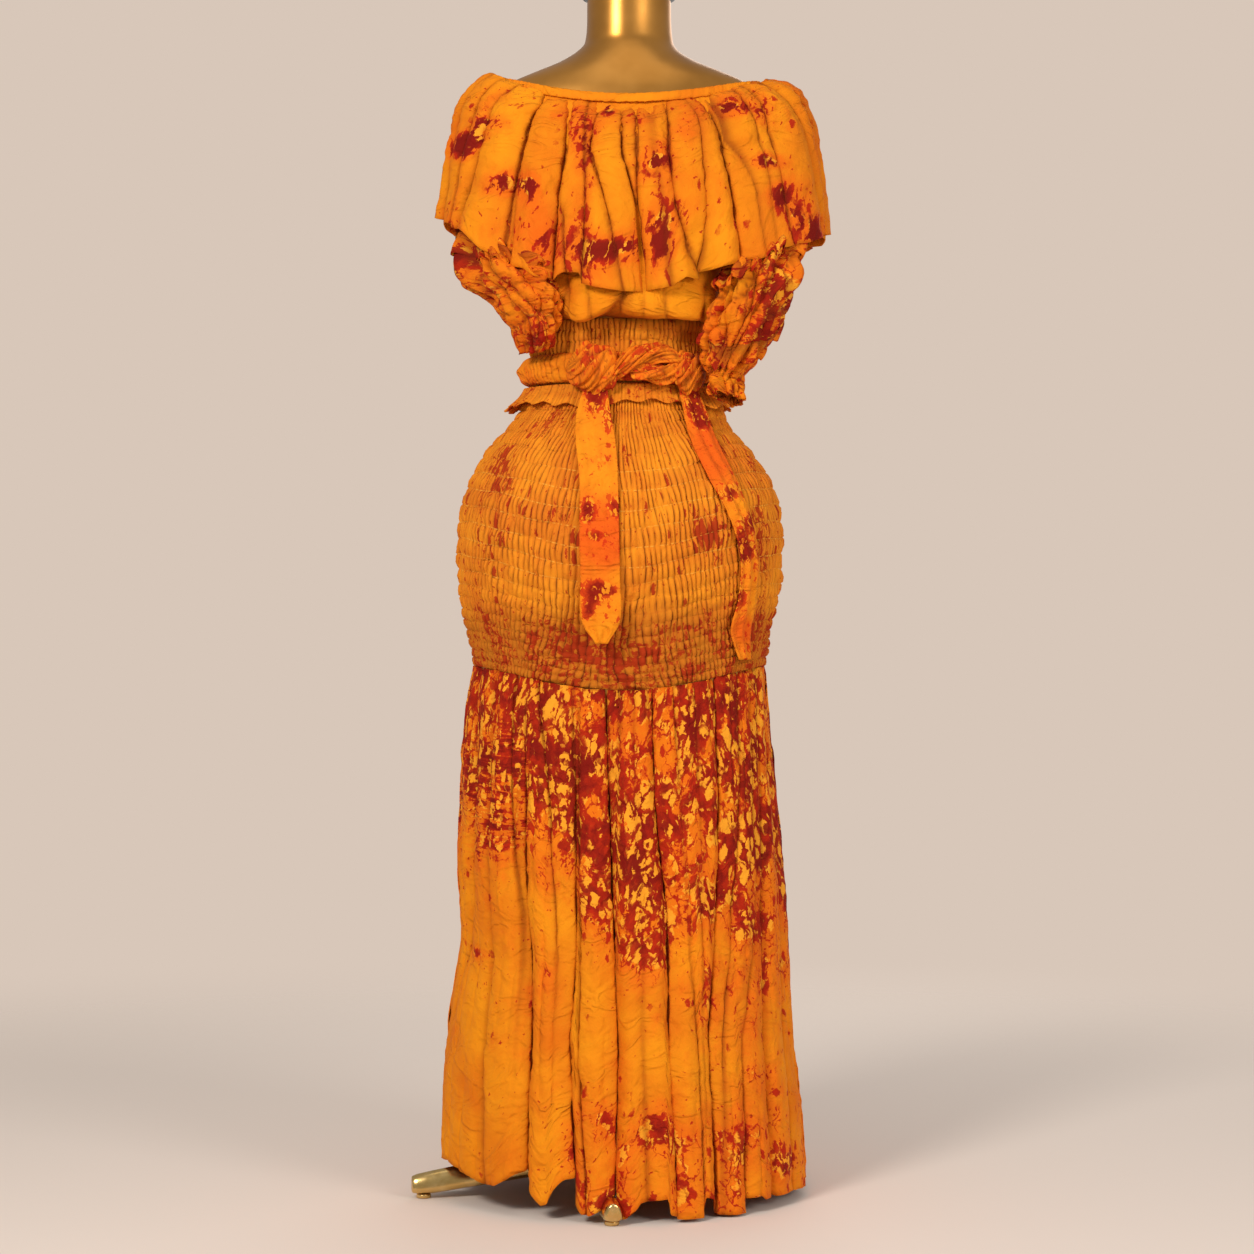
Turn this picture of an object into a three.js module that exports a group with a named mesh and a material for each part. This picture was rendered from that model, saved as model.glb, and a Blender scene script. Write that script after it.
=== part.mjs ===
// An off-shoulder maxi dress in hand-dyed cotton, shown on a gold dress form with a four-legged stand.
// +X is the wearer's right, +Y the way the wearer faces and +Z up; the origin lies on the floor.
// Every length is in millimetres. Each sewn piece is its own closed wall, a hair's gap from the next.
import * as THREE from 'three';

// Driving dimensions
const CLOTH = 1.6;            // wall of a single layer of cloth
const SEAM_GAP = 0.3;         // space between two sewn pieces
const FORM_GAP = 0.6;         // space between the form and the tight smocked pieces
const FORM_SIDES = 30;        // facets round the form and round the plain inside of the smocking
const RELIEF_SIDES = 60;      // columns round the raised outside of the smocking
const WAIST_TOP = 1077;       // top of the smocked midriff
const WAIST_SEAM = 999;       // midriff meets hip tube
const HIP_SEAM = 638;         // hip tube meets gathered skirt, on average
const NECK_TOP = 1484;        // cut top of the form's neck
const FORM_BASE = 600;        // flat underside of the form
const SKIRT_FOLDS = 30;
const RUFFLE_FOLDS = 30;
const FRILL_WAVES = 32;

// Outline of the form by height: reach to the left, right, back and front of the middle plane
const FORM = [
  { z: 1484, left: 47, right: 57, back: 54, front: 50 },
  { z: 1430, left: 50, right: 60, back: 57, front: 50 },
  { z: 1416, left: 62, right: 70, back: 61, front: 54 },
  { z: 1402, left: 86, right: 95, back: 67, front: 59 },
  { z: 1390, left: 116, right: 126, back: 73, front: 65 },
  { z: 1377, left: 145, right: 154, back: 79, front: 73 },
  { z: 1360, left: 157, right: 166, back: 86, front: 82 },
  { z: 1330, left: 158, right: 165, back: 95, front: 94 },
  { z: 1280, left: 151, right: 158, back: 103, front: 112 },
  { z: 1220, left: 147, right: 151, back: 104, front: 130 },
  { z: 1100, left: 121, right: 122, back: 90, front: 104 },
  { z: 1077, left: 117, right: 117, back: 87, front: 98 },
  { z: 999, left: 113, right: 112, back: 87, front: 90 },
  { z: 975, left: 122, right: 117, back: 94, front: 93 },
  { z: 945, left: 146, right: 131, back: 109, front: 98 },
  { z: 910, left: 175, right: 160, back: 130, front: 105 },
  { z: 870, left: 194, right: 183, back: 149, front: 112 },
  { z: 825, left: 205, right: 192, back: 160, front: 118 },
  { z: 780, left: 205, right: 192, back: 160, front: 121 },
  { z: 735, left: 201, right: 187, back: 150, front: 120 },
  { z: 690, left: 192, right: 177, back: 136, front: 116 },
  { z: 640, left: 183, right: 170, back: 126, front: 111 },
  { z: 600, left: 178, right: 166, back: 122, front: 108 },
];

// Outline of the gathered skirt over the tops of its folds
const SKIRT = [
  { z: 645, left: 192, right: 178, back: 135, front: 120 },
  { z: 604, left: 199, right: 180, back: 146, front: 126 },
  { z: 520, left: 205, right: 188, back: 163, front: 142 },
  { z: 420, left: 209, right: 197, back: 179, front: 160 },
  { z: 310, left: 206, right: 205, back: 195, front: 177 },
  { z: 200, left: 222, right: 210, back: 210, front: 194 },
  { z: 100, left: 229, right: 221, back: 222, front: 208 },
  { z: 10, left: 228, right: 227, back: 230, front: 214 },
];

// Rings down the shoulder ruffle, neckline to hem, with the height of each at its left, right, back and front
const RUFFLE = [
  { left: 172, right: 186, back: 101, front: 107, zLeft: 1376, zRight: 1373, zBack: 1340, zFront: 1318, fold: 2 },
  { left: 206, right: 228, back: 120, front: 132, zLeft: 1352, zRight: 1352, zBack: 1306, zFront: 1282, fold: 7 },
  { left: 226, right: 247, back: 138, front: 158, zLeft: 1296, zRight: 1290, zBack: 1232, zFront: 1208, fold: 11 },
  { left: 240, right: 257, back: 154, front: 170, zLeft: 1214, zRight: 1190, zBack: 1108, zFront: 1088, fold: 16 },
];

// Rings down the bodice under the ruffle; it blouses over the midriff at its lower end
const BODICE = [
  { left: 172, right: 186, back: 101, front: 107, zSide: 1375, zBack: 1340, zFront: 1318, armhole: 30 },
  { left: 170, right: 178, back: 108, front: 120, zSide: 1310, zBack: 1300, zFront: 1280, armhole: 30 },
  { left: 160, right: 165, back: 116, front: 137, zSide: 1234, zBack: 1230, zFront: 1220, armhole: 1 },
  { left: 148, right: 151, back: 122, front: 138, zSide: 1165, zBack: 1160, zFront: 1160, armhole: 0 },
  { left: 130, right: 133, back: 132, front: 132, zSide: 1112, zBack: 1110, zFront: 1110, armhole: 0 },
  { left: 127, right: 129, back: 130, front: 128, zSide: 1090, zBack: 1086, zFront: 1088, armhole: 0 },
  { left: 121, right: 121, back: 92, front: 103, zSide: 1077.7, zBack: 1077.7, zFront: 1077.7, armhole: 0 },
];

// Each sleeve ring runs from an inner point to an outer point of the hanging, empty sleeve
const SLEEVE_LEFT = [
  { xIn: 170.4, zIn: 1246, xOut: 170.4, zOut: 1358, depth: 46, y: 0 },
  { xIn: 172, zIn: 1234, xOut: 190, zOut: 1322, depth: 42, y: -4 },
  { xIn: 168, zIn: 1212, xOut: 198, zOut: 1266, depth: 36, y: -12 },
  { xIn: 161, zIn: 1182, xOut: 206, zOut: 1204, depth: 36, y: -26 },
  { xIn: 148, zIn: 1150, xOut: 207, zOut: 1158, depth: 42, y: -48 },
  { xIn: 136, zIn: 1122, xOut: 200, zOut: 1122, depth: 38, y: -64 },
  { xIn: 126, zIn: 1098, xOut: 166, zOut: 1094, depth: 30, y: -80 },
  { xIn: 114, zIn: 1070, xOut: 152, zOut: 1066, depth: 25, y: -82 },
  { xIn: 110, zIn: 1044, xOut: 141, zOut: 1042, depth: 22, y: -78 },
];
const SLEEVE_RIGHT = [
  { xIn: 177, zIn: 1246, xOut: 177, zOut: 1356, depth: 46, y: 0 },
  { xIn: 180, zIn: 1232, xOut: 204, zOut: 1322, depth: 43, y: -4 },
  { xIn: 174, zIn: 1208, xOut: 214, zOut: 1264, depth: 38, y: -10 },
  { xIn: 164, zIn: 1178, xOut: 222, zOut: 1200, depth: 38, y: -24 },
  { xIn: 152, zIn: 1148, xOut: 222, zOut: 1150, depth: 46, y: -48 },
  { xIn: 140, zIn: 1116, xOut: 216, zOut: 1114, depth: 44, y: -62 },
  { xIn: 130, zIn: 1080, xOut: 203, zOut: 1076, depth: 40, y: -68 },
  { xIn: 134, zIn: 1042, xOut: 186, zOut: 1038, depth: 34, y: -66 },
  { xIn: 138, zIn: 1008, xOut: 163, zOut: 1004, depth: 27, y: -64 },
  { xIn: 135, zIn: 978, xOut: 164, zOut: 972, depth: 31, y: -68 },
];

// Height of the skirt hem off the floor by angle; it is highest over the left foot and the back foot
const HEM = [
  { angle: 0, z: 14 }, { angle: 25, z: 34 }, { angle: 60, z: 30 }, { angle: 96, z: 44 }, { angle: 118, z: 56 },
  { angle: 140, z: 44 }, { angle: 165, z: 38 }, { angle: 181, z: 52 }, { angle: 198, z: 58 }, { angle: 208, z: 40 },
  { angle: 217, z: 24 }, { angle: 233, z: 32 }, { angle: 245, z: 14 }, { angle: 252, z: 30 }, { angle: 257, z: 12 },
  { angle: 261, z: 50 }, { angle: 268, z: 50 }, { angle: 271, z: 10 }, { angle: 277, z: 25 }, { angle: 286, z: 9 },
  { angle: 294, z: 22 }, { angle: 302, z: 9 }, { angle: 310, z: 21 }, { angle: 320, z: 12 }, { angle: 345, z: 12 },
  { angle: 360, z: 14 },
];

// Stand: hub, legs and pads
const HUB = { x: -50, y: -30, radius: 30, base: 24, top: 74 };
const LEG_ANGLES = [190, 280, 10, 100];
const LEG_REACH = 206;
const PAD = { radius: 9, height: 5 };
const POLE_RADIUS = 14;

const fabric = (name, color) => new THREE.MeshStandardMaterial({ name, color, roughness: 0.85, metalness: 0 });
const DYED = fabric('dyed_cotton', 0xe8901c);
const SMOCKED = fabric('smocked_cotton', 0xdd861f);
const SASH = fabric('sash_cotton', 0xe2661a);
const GOLD = new THREE.MeshStandardMaterial({ name: 'gold_lacquer', color: 0xb98235, roughness: 0.3, metalness: 0.8 });
const BRASS = new THREE.MeshStandardMaterial({ name: 'polished_brass', color: 0xb08a3e, roughness: 0.18, metalness: 1 });
const DARK = new THREE.MeshStandardMaterial({ name: 'dark_cap', color: 0x2a211b, roughness: 0.5, metalness: 0.1 });

const group = new THREE.Group();
const radians = degrees => degrees * Math.PI / 180;
const mix = (a, b, t) => a + (b - a) * t;
const between = (low, high, t) => Math.min(1, Math.max(0, (t - low) / (high - low)));

// A table's column at a key value, on a smooth curve through its rows
function along(table, key, value, column) {
  const falling = table[0][key] > table[table.length - 1][key];
  const rows = falling ? [...table].reverse() : table;
  let i = 0;
  while (i < rows.length - 2 && value > rows[i + 1][key]) i += 1;
  const slope = k => {
    const low = rows[Math.max(0, k - 1)];
    const high = rows[Math.min(rows.length - 1, k + 1)];
    return (high[column] - low[column]) / (high[key] - low[key]);
  };
  const span = rows[i + 1][key] - rows[i][key];
  const t = between(rows[i][key], rows[i + 1][key], value);
  const t2 = t * t;
  const t3 = t2 * t;
  return (2 * t3 - 3 * t2 + 1) * rows[i][column] + (t3 - 2 * t2 + t) * span * slope(i)
    + (3 * t2 - 2 * t3) * rows[i + 1][column] + (t3 - t2) * span * slope(i + 1);
}

// A value on straight lines between the rows of a table
function lineAlong(table, key, value, column) {
  let i = 0;
  while (i < table.length - 2 && value > table[i + 1][key]) i += 1;
  const t = between(table[i][key], table[i + 1][key], value);
  return mix(table[i][column], table[i + 1][column], t);
}

// A point on an oval of four different reaches, moved out by some distance
function oval(reach, angle, out, z) {
  const c = Math.cos(angle);
  const s = Math.sin(angle);
  const x = (c > 0 ? reach.right : reach.left) + out;
  const y = (s > 0 ? reach.front : reach.back) + out;
  return new THREE.Vector3(x * c, y * s, z);
}

function outlineAt(table, z) {
  const reach = {};
  for (const side of ['left', 'right', 'back', 'front']) reach[side] = along(table, 'z', z, side);
  return reach;
}

const onForm = (angle, z, out) => oval(outlineAt(FORM, z), angle, out, z);

// The hip seam rides up at the sides and dips over the seat
const hipSeam = angle => HIP_SEAM + 14 * Math.cos(angle) ** 2 - 14 * Math.max(0, -Math.sin(angle)) ** 4;

// A closed body from points and triangles, turned so that its faces point out
function addSolid(name, points, faces, material) {
  let volume = 0;
  for (const [a, b, c] of faces) {
    volume += points[a].dot(new THREE.Vector3().crossVectors(points[b], points[c]));
  }
  const index = volume < 0 ? faces.map(([a, b, c]) => [a, c, b]) : faces;
  const geometry = new THREE.BufferGeometry();
  geometry.setAttribute('position', new THREE.Float32BufferAttribute(points.flatMap(p => [p.x, p.y, p.z]), 3));
  geometry.setIndex(index.flat());
  geometry.computeVertexNormals();
  const mesh = new THREE.Mesh(geometry, material);
  mesh.name = name;
  group.add(mesh);
}

const quad = (a, b, c, d) => [[a, b, c], [a, c, d]];

// A wall of one thickness whose middle is a grid of rows; round means that each row closes on itself
function addWall(name, grid, thickness, round, material) {
  const rows = grid.length;
  const columns = grid[0].length;
  const cell = (i, j) => grid[i][round ? (j + columns) % columns : Math.min(columns - 1, Math.max(0, j))];
  const normal = (i, j) => {
    const across = new THREE.Vector3().subVectors(cell(i, j + 1), cell(i, j - 1));
    const down = new THREE.Vector3().subVectors(cell(Math.min(rows - 1, i + 1), j), cell(Math.max(0, i - 1), j));
    return across.cross(down).normalize();
  };
  const points = [];
  for (const side of [1, -1]) {
    for (let i = 0; i < rows; i += 1) {
      for (let j = 0; j < columns; j += 1) {
        points.push(cell(i, j).clone().addScaledVector(normal(i, j), side * thickness / 2));
      }
    }
  }
  const at = (side, i, j) => side * rows * columns + i * columns + (j % columns);
  const faces = [];
  const steps = round ? columns : columns - 1;
  for (let j = 0; j < steps; j += 1) {
    for (let i = 0; i < rows - 1; i += 1) {
      faces.push(...quad(at(0, i, j), at(0, i, j + 1), at(0, i + 1, j + 1), at(0, i + 1, j)));
      faces.push(...quad(at(1, i, j), at(1, i + 1, j), at(1, i + 1, j + 1), at(1, i, j + 1)));
    }
    faces.push(...quad(at(0, 0, j), at(1, 0, j), at(1, 0, j + 1), at(0, 0, j + 1)));
    faces.push(...quad(at(0, rows - 1, j), at(0, rows - 1, j + 1), at(1, rows - 1, j + 1), at(1, rows - 1, j)));
  }
  if (!round) {
    for (let i = 0; i < rows - 1; i += 1) {
      const last = columns - 1;
      faces.push(...quad(at(0, i, 0), at(0, i + 1, 0), at(1, i + 1, 0), at(1, i, 0)));
      faces.push(...quad(at(0, i, last), at(1, i, last), at(1, i + 1, last), at(0, i + 1, last)));
    }
  }
  addSolid(name, points, faces, material);
}

// A tube with a raised outside grid over a plainer inside grid; the outside has a whole multiple of its columns
function addRaisedTube(name, outside, inside, material) {
  const points = [...outside.flat(), ...inside.flat()];
  const start = outside.length * outside[0].length;
  const faces = [];
  const skin = (grid, first, flip) => {
    const columns = grid[0].length;
    for (let i = 0; i < grid.length - 1; i += 1) {
      for (let j = 0; j < columns; j += 1) {
        const k = (j + 1) % columns;
        const corners = [first + i * columns + j, first + i * columns + k,
          first + (i + 1) * columns + k, first + (i + 1) * columns + j];
        const [a, b, c, d] = corners;
        faces.push(...(flip ? quad(a, d, c, b) : quad(a, b, c, d)));
      }
    }
  };
  skin(outside, 0, false);
  skin(inside, start, true);
  const ratio = outside[0].length / inside[0].length;
  const rim = (outRow, inRow, flip) => {
    const many = outside[0].length;
    const few = inside[0].length;
    const out = j => outRow * many + (j % many);
    const inn = j => start + inRow * few + (j % few);
    for (let j = 0; j < few; j += 1) {
      const triangles = [];
      for (let k = 0; k < ratio; k += 1) triangles.push([inn(j), out(j * ratio + k + 1), out(j * ratio + k)]);
      triangles.push([inn(j), inn(j + 1), out((j + 1) * ratio)]);
      faces.push(...(flip ? triangles.map(([a, b, c]) => [a, c, b]) : triangles));
    }
  };
  rim(0, 0, false);
  rim(outside.length - 1, inside.length - 1, true);
  addSolid(name, points, faces, material);
}

// A body skinned over rings of equal count, closed at both ends
function addLoft(name, rings, material) {
  const count = rings[0].length;
  const points = rings.flat();
  const faces = [];
  for (let i = 0; i < rings.length - 1; i += 1) {
    for (let j = 0; j < count; j += 1) {
      const k = (j + 1) % count;
      faces.push(...quad(i * count + j, i * count + k, (i + 1) * count + k, (i + 1) * count + j));
    }
  }
  for (const [row, flip] of [[0, true], [rings.length - 1, false]]) {
    const centre = rings[row].reduce((sum, p) => sum.add(p), new THREE.Vector3()).divideScalar(count);
    points.push(centre);
    for (let j = 0; j < count; j += 1) {
      const pair = [row * count + j, row * count + (j + 1) % count];
      faces.push([points.length - 1, ...(flip ? pair.reverse() : pair)]);
    }
  }
  addSolid(name, points, faces, material);
}

function addShape(name, geometry, material, x, y, z) {
  const mesh = new THREE.Mesh(geometry, material);
  mesh.name = name;
  mesh.position.set(x, y, z);
  group.add(mesh);
}

const ringOf = (count, make) => Array.from({ length: count }, (_, j) => make(j));
const turn = (j, count) => 2 * Math.PI * j / count;

// The dress form: one smooth torso with a cut neck, a dark cap on the neck, and no limbs
function makeForm() {
  const levels = FORM.map(row => row.z);
  const rings = levels.map(z => ringOf(FORM_SIDES, j => onForm(turn(j, FORM_SIDES), z, 0)));
  addLoft('form_torso', rings, GOLD);
  const cap = [[0, 0], [58, 0], [60, 3], [59, 9], [50, 13], [0, 15]].map(([r, z]) => new THREE.Vector2(r, z));
  const lathe = new THREE.LatheGeometry(cap, 18);
  lathe.rotateX(Math.PI / 2);
  addShape('neck_cap', lathe, DARK, 5, -2, NECK_TOP + SEAM_GAP);
}

// The stand: a flange under the form, a pole, a hub and four arched legs on round pads
function makeStand() {
  const flange = new THREE.CylinderGeometry(46, 46, 8, 20).rotateX(Math.PI / 2);
  addShape('stand_flange', flange, BRASS, HUB.x, HUB.y, FORM_BASE - SEAM_GAP - 4);
  const poleTop = FORM_BASE - SEAM_GAP - 8 - SEAM_GAP;
  const poleLength = poleTop - HUB.top - SEAM_GAP;
  const pole = new THREE.CylinderGeometry(POLE_RADIUS, POLE_RADIUS, poleLength, 16).rotateX(Math.PI / 2);
  addShape('stand_pole', pole, BRASS, HUB.x, HUB.y, poleTop - poleLength / 2);
  const sides = 16;
  const profile = [[HUB.radius - 5, HUB.base], [HUB.radius, HUB.base + 6], [HUB.radius, HUB.top - 10],
    [HUB.radius - 8, HUB.top]];
  const rings = profile.map(([radius, z]) => ringOf(sides, j => {
    const angle = radians(LEG_ANGLES[0]) + turn(j + 0.5, sides);
    return new THREE.Vector3(HUB.x + radius * Math.cos(angle), HUB.y + radius * Math.sin(angle), z);
  }));
  addLoft('stand_hub', rings, BRASS);
  // Down a leg: distance from the hub's axis, half width, underside and crest
  const face = HUB.radius * Math.cos(Math.PI / sides) + SEAM_GAP;
  const leg = [
    { reach: face, half: 13, under: 26, crest: 66 },
    { reach: 75, half: 13, under: 20, crest: 55 },
    { reach: 130, half: 13, under: 13, crest: 43 },
    { reach: LEG_REACH - 18, half: 12.5, under: PAD.height + SEAM_GAP, crest: 33 },
    { reach: LEG_REACH + 4, half: 11.5, under: PAD.height + SEAM_GAP, crest: 28.5 },
    { reach: LEG_REACH + 11, half: 8, under: PAD.height + 3, crest: 25 },
  ];
  LEG_ANGLES.forEach((degrees, n) => {
    const angle = radians(degrees);
    const outline = [[-1, 0], [1, 0], [1, 0.62], [0.72, 0.9], [0, 1], [-0.72, 0.9], [-1, 0.62]];
    const legRings = leg.map(row => outline.map(([across, up]) => new THREE.Vector3(
      HUB.x + row.reach * Math.cos(angle) - across * row.half * Math.sin(angle),
      HUB.y + row.reach * Math.sin(angle) + across * row.half * Math.cos(angle),
      mix(row.under, row.crest, up),
    )));
    addLoft(`stand_leg_${n + 1}`, legRings, BRASS);
    const pad = new THREE.CylinderGeometry(PAD.radius, PAD.radius, PAD.height, 12).rotateX(Math.PI / 2);
    addShape(`foot_pad_${n + 1}`, pad, BRASS, HUB.x + (LEG_REACH - 6) * Math.cos(angle),
      HUB.y + (LEG_REACH - 6) * Math.sin(angle), PAD.height / 2);
  });
}

// Smocking: puffs between elastic rows, broken into columns that swell in turn
function smockHeight(row, column, rows) {
  const puff = row % 2;
  const band = (row - puff) / 2;
  const high = (column + band) % 2 === 0;
  const edge = row === 0 || row === rows - 1;
  return edge ? 0.6 : puff ? (high ? 3.2 : 1.7) : 0.3;
}

function makeSmocking(name, top, bottom, bands) {
  const rows = bands * 2 + 1;
  const outside = Array.from({ length: rows }, (_, i) => ringOf(RELIEF_SIDES, j => {
    const angle = turn(j, RELIEF_SIDES);
    const z = mix(top, bottom(angle), i / (rows - 1));
    return onForm(angle, z, FORM_GAP + CLOTH + smockHeight(i, j, rows));
  }));
  const levels = FORM.map(row => row.z).filter(z => z < top && z > bottom(0));
  const inside = [() => top, ...levels.map(z => () => z), bottom].map(level => ringOf(FORM_SIDES, j => {
    const angle = turn(j, FORM_SIDES);
    return onForm(angle, level(angle), FORM_GAP);
  }));
  addRaisedTube(name, outside, inside, SMOCKED);
}

// Uneven places of the folds round a gathered ring, as fractions of the whole turn
function foldPlaces(count, unevenness, seed) {
  const widths = Array.from({ length: count }, (_, k) => 1 + unevenness * Math.sin(k * 2.4 + seed)
    * Math.cos(k * 1.3 + 2 * seed));
  const total = widths.reduce((sum, w) => sum + w, 0);
  let sum = 0;
  return widths.map(width => {
    const start = sum / total;
    sum += width;
    return { start, width: width / total };
  });
}

const FOLD_STEPS = [{ at: 0, height: 0 }, { at: 0.2, height: 0.78 }, { at: 0.5, height: 1 }, { at: 0.8, height: 0.8 }];

// The gathered skirt: round-topped folds with narrow grooves, down to an uneven hem
function makeSkirt() {
  const top = foldPlaces(SKIRT_FOLDS, 0.35, 0.7);
  const hem = foldPlaces(SKIRT_FOLDS, 0.6, 0.9);
  const shares = [0, 0.07, 0.22, 0.42, 0.64, 0.84, 1];
  const depths = [1.5, 7, 11, 14, 17, 20, 22];
  const grid = shares.map((share, i) => top.flatMap((fold, k) => FOLD_STEPS.map(step => {
    const place = mix(fold.start + step.at * fold.width, hem[k].start + step.at * hem[k].width, share);
    const angle = 2 * Math.PI * place;
    const floor = lineAlong(HEM, 'angle', place * 360 % 360, 'z') + 6 * (1 - step.height);
    const z = mix(hipSeam(angle) - 0.05, floor, share);
    const deep = depths[i] * (0.75 + 0.35 * Math.sin(k * 1.9 + 0.6));
    return oval(outlineAt(SKIRT, z), angle, -deep * (1 - step.height) - CLOTH / 2, z);
  })));
  addWall('skirt_panel', grid, CLOTH, true, DYED);
}

// Height of a ring that lies at different levels at its sides, back and front
function ringHeight(row, angle) {
  const s = Math.sin(angle);
  const side = row.zSide ?? mix(row.zLeft, row.zRight, between(-1, 1, Math.cos(angle)));
  return mix(side, s > 0 ? row.zFront : row.zBack, s * s);
}

const onRing = (row, angle, out) => oval(row, angle, out, ringHeight(row, angle));

// The neckline casing, a flat elastic channel round the shoulders
function makeCasing() {
  const neckline = RUFFLE[0];
  const count = 48;
  const corner = [{ out: 0, up: 2.4 }, { out: 5, up: 2.4 }, { out: 4, up: 12 }, { out: 1, up: 13 }];
  const points = corner.flatMap(({ out, up }) => ringOf(count, j => {
    const angle = turn(j, count);
    const lean = -6 * between(2, 13, up) * Math.abs(Math.cos(angle));
    const point = onRing(neckline, angle, out - 4.2 + lean);
    return point.setZ(point.z + up);
  }));
  const faces = [];
  for (let c = 0; c < corner.length; c += 1) {
    for (let j = 0; j < count; j += 1) {
      const d = (c + 1) % corner.length;
      const k = (j + 1) % count;
      faces.push(...quad(c * count + j, c * count + k, d * count + k, d * count + j));
    }
  }
  addSolid('neck_casing', points, faces, DYED);
}

// The deep off-shoulder ruffle, pleated all round
function makeRuffle() {
  const places = foldPlaces(RUFFLE_FOLDS, 0.45, 1.7);
  const grid = RUFFLE.map(row => places.flatMap((fold, k) => FOLD_STEPS.map(step => {
    const angle = 2 * Math.PI * (fold.start + step.at * fold.width);
    const deep = row.fold * (0.8 + 0.3 * Math.sin(k * 2.3)) * (1 - step.height);
    const point = onRing(row, angle, -deep - CLOTH / 2);
    return point.setZ(point.z + 0.6 * deep);
  })));
  addWall('shoulder_ruffle', grid, CLOTH, true, DYED);
}

// Front and back of the bodice, cut away round the armholes and joined at the side seams
function makeBodice() {
  const columns = 16;
  for (const [name, middle] of [['bodice_back', 270], ['bodice_front', 90]]) {
    const grid = BODICE.map((row, i) => ringOf(columns + 1, j => {
      const spread = 90 - row.armhole - 0.25;
      const angle = radians(middle + mix(-spread, spread, j / columns));
      const blouse = i === 4 || i === 5 ? 3.5 * Math.sin(j * 2.1) : 0;
      return onRing(row, angle, -CLOTH / 2 - 4.4 * between(1, 0, i) + blouse);
    }));
    addWall(name, grid, CLOTH, false, DYED);
  }
}

// An empty sleeve that hangs from its armhole beside the body, open at the cuff
function makeSleeve(name, table, sign) {
  const count = 16;
  const grid = table.map((row, i) => ringOf(count, j => {
    const angle = turn(j, count);
    const crumple = i === 0 ? 1 : 1 + 0.05 * Math.cos(5 * angle + i * 1.1) + 0.03 * Math.cos(3 * angle - i);
    const along = Math.cos(angle) * crumple;
    const across = Math.sin(angle) * crumple;
    const y = row.y + across * row.depth;
    const tuck = i === 0 ? 22 * (y / 46) ** 2 : 0;
    return new THREE.Vector3(
      sign * (mix(row.xIn, row.xOut, (along + 1) / 2) - tuck),
      y,
      mix(row.zIn, row.zOut, (along + 1) / 2),
    );
  }));
  addWall(name, grid, CLOTH, true, DYED);
}

// The gathered heading that stands out round the waist, under the belt
function makeWaistFrill() {
  const rows = [{ z: 996, out: 7.2, wave: 0.6 }, { z: 984, out: 8.5, wave: 1.6 }, { z: 970, out: 11.5, wave: 3.4 }];
  const count = FRILL_WAVES * 2;
  const grid = rows.map(row => ringOf(count, j => {
    const wave = row.wave * (j % 2 === 0 ? 1 : -1) * (0.8 + 0.3 * Math.sin(j * 0.9));
    return onForm(turn(j, count), row.z, row.out + wave);
  }));
  addWall('waist_frill', grid, CLOTH, true, SMOCKED);
}

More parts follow.
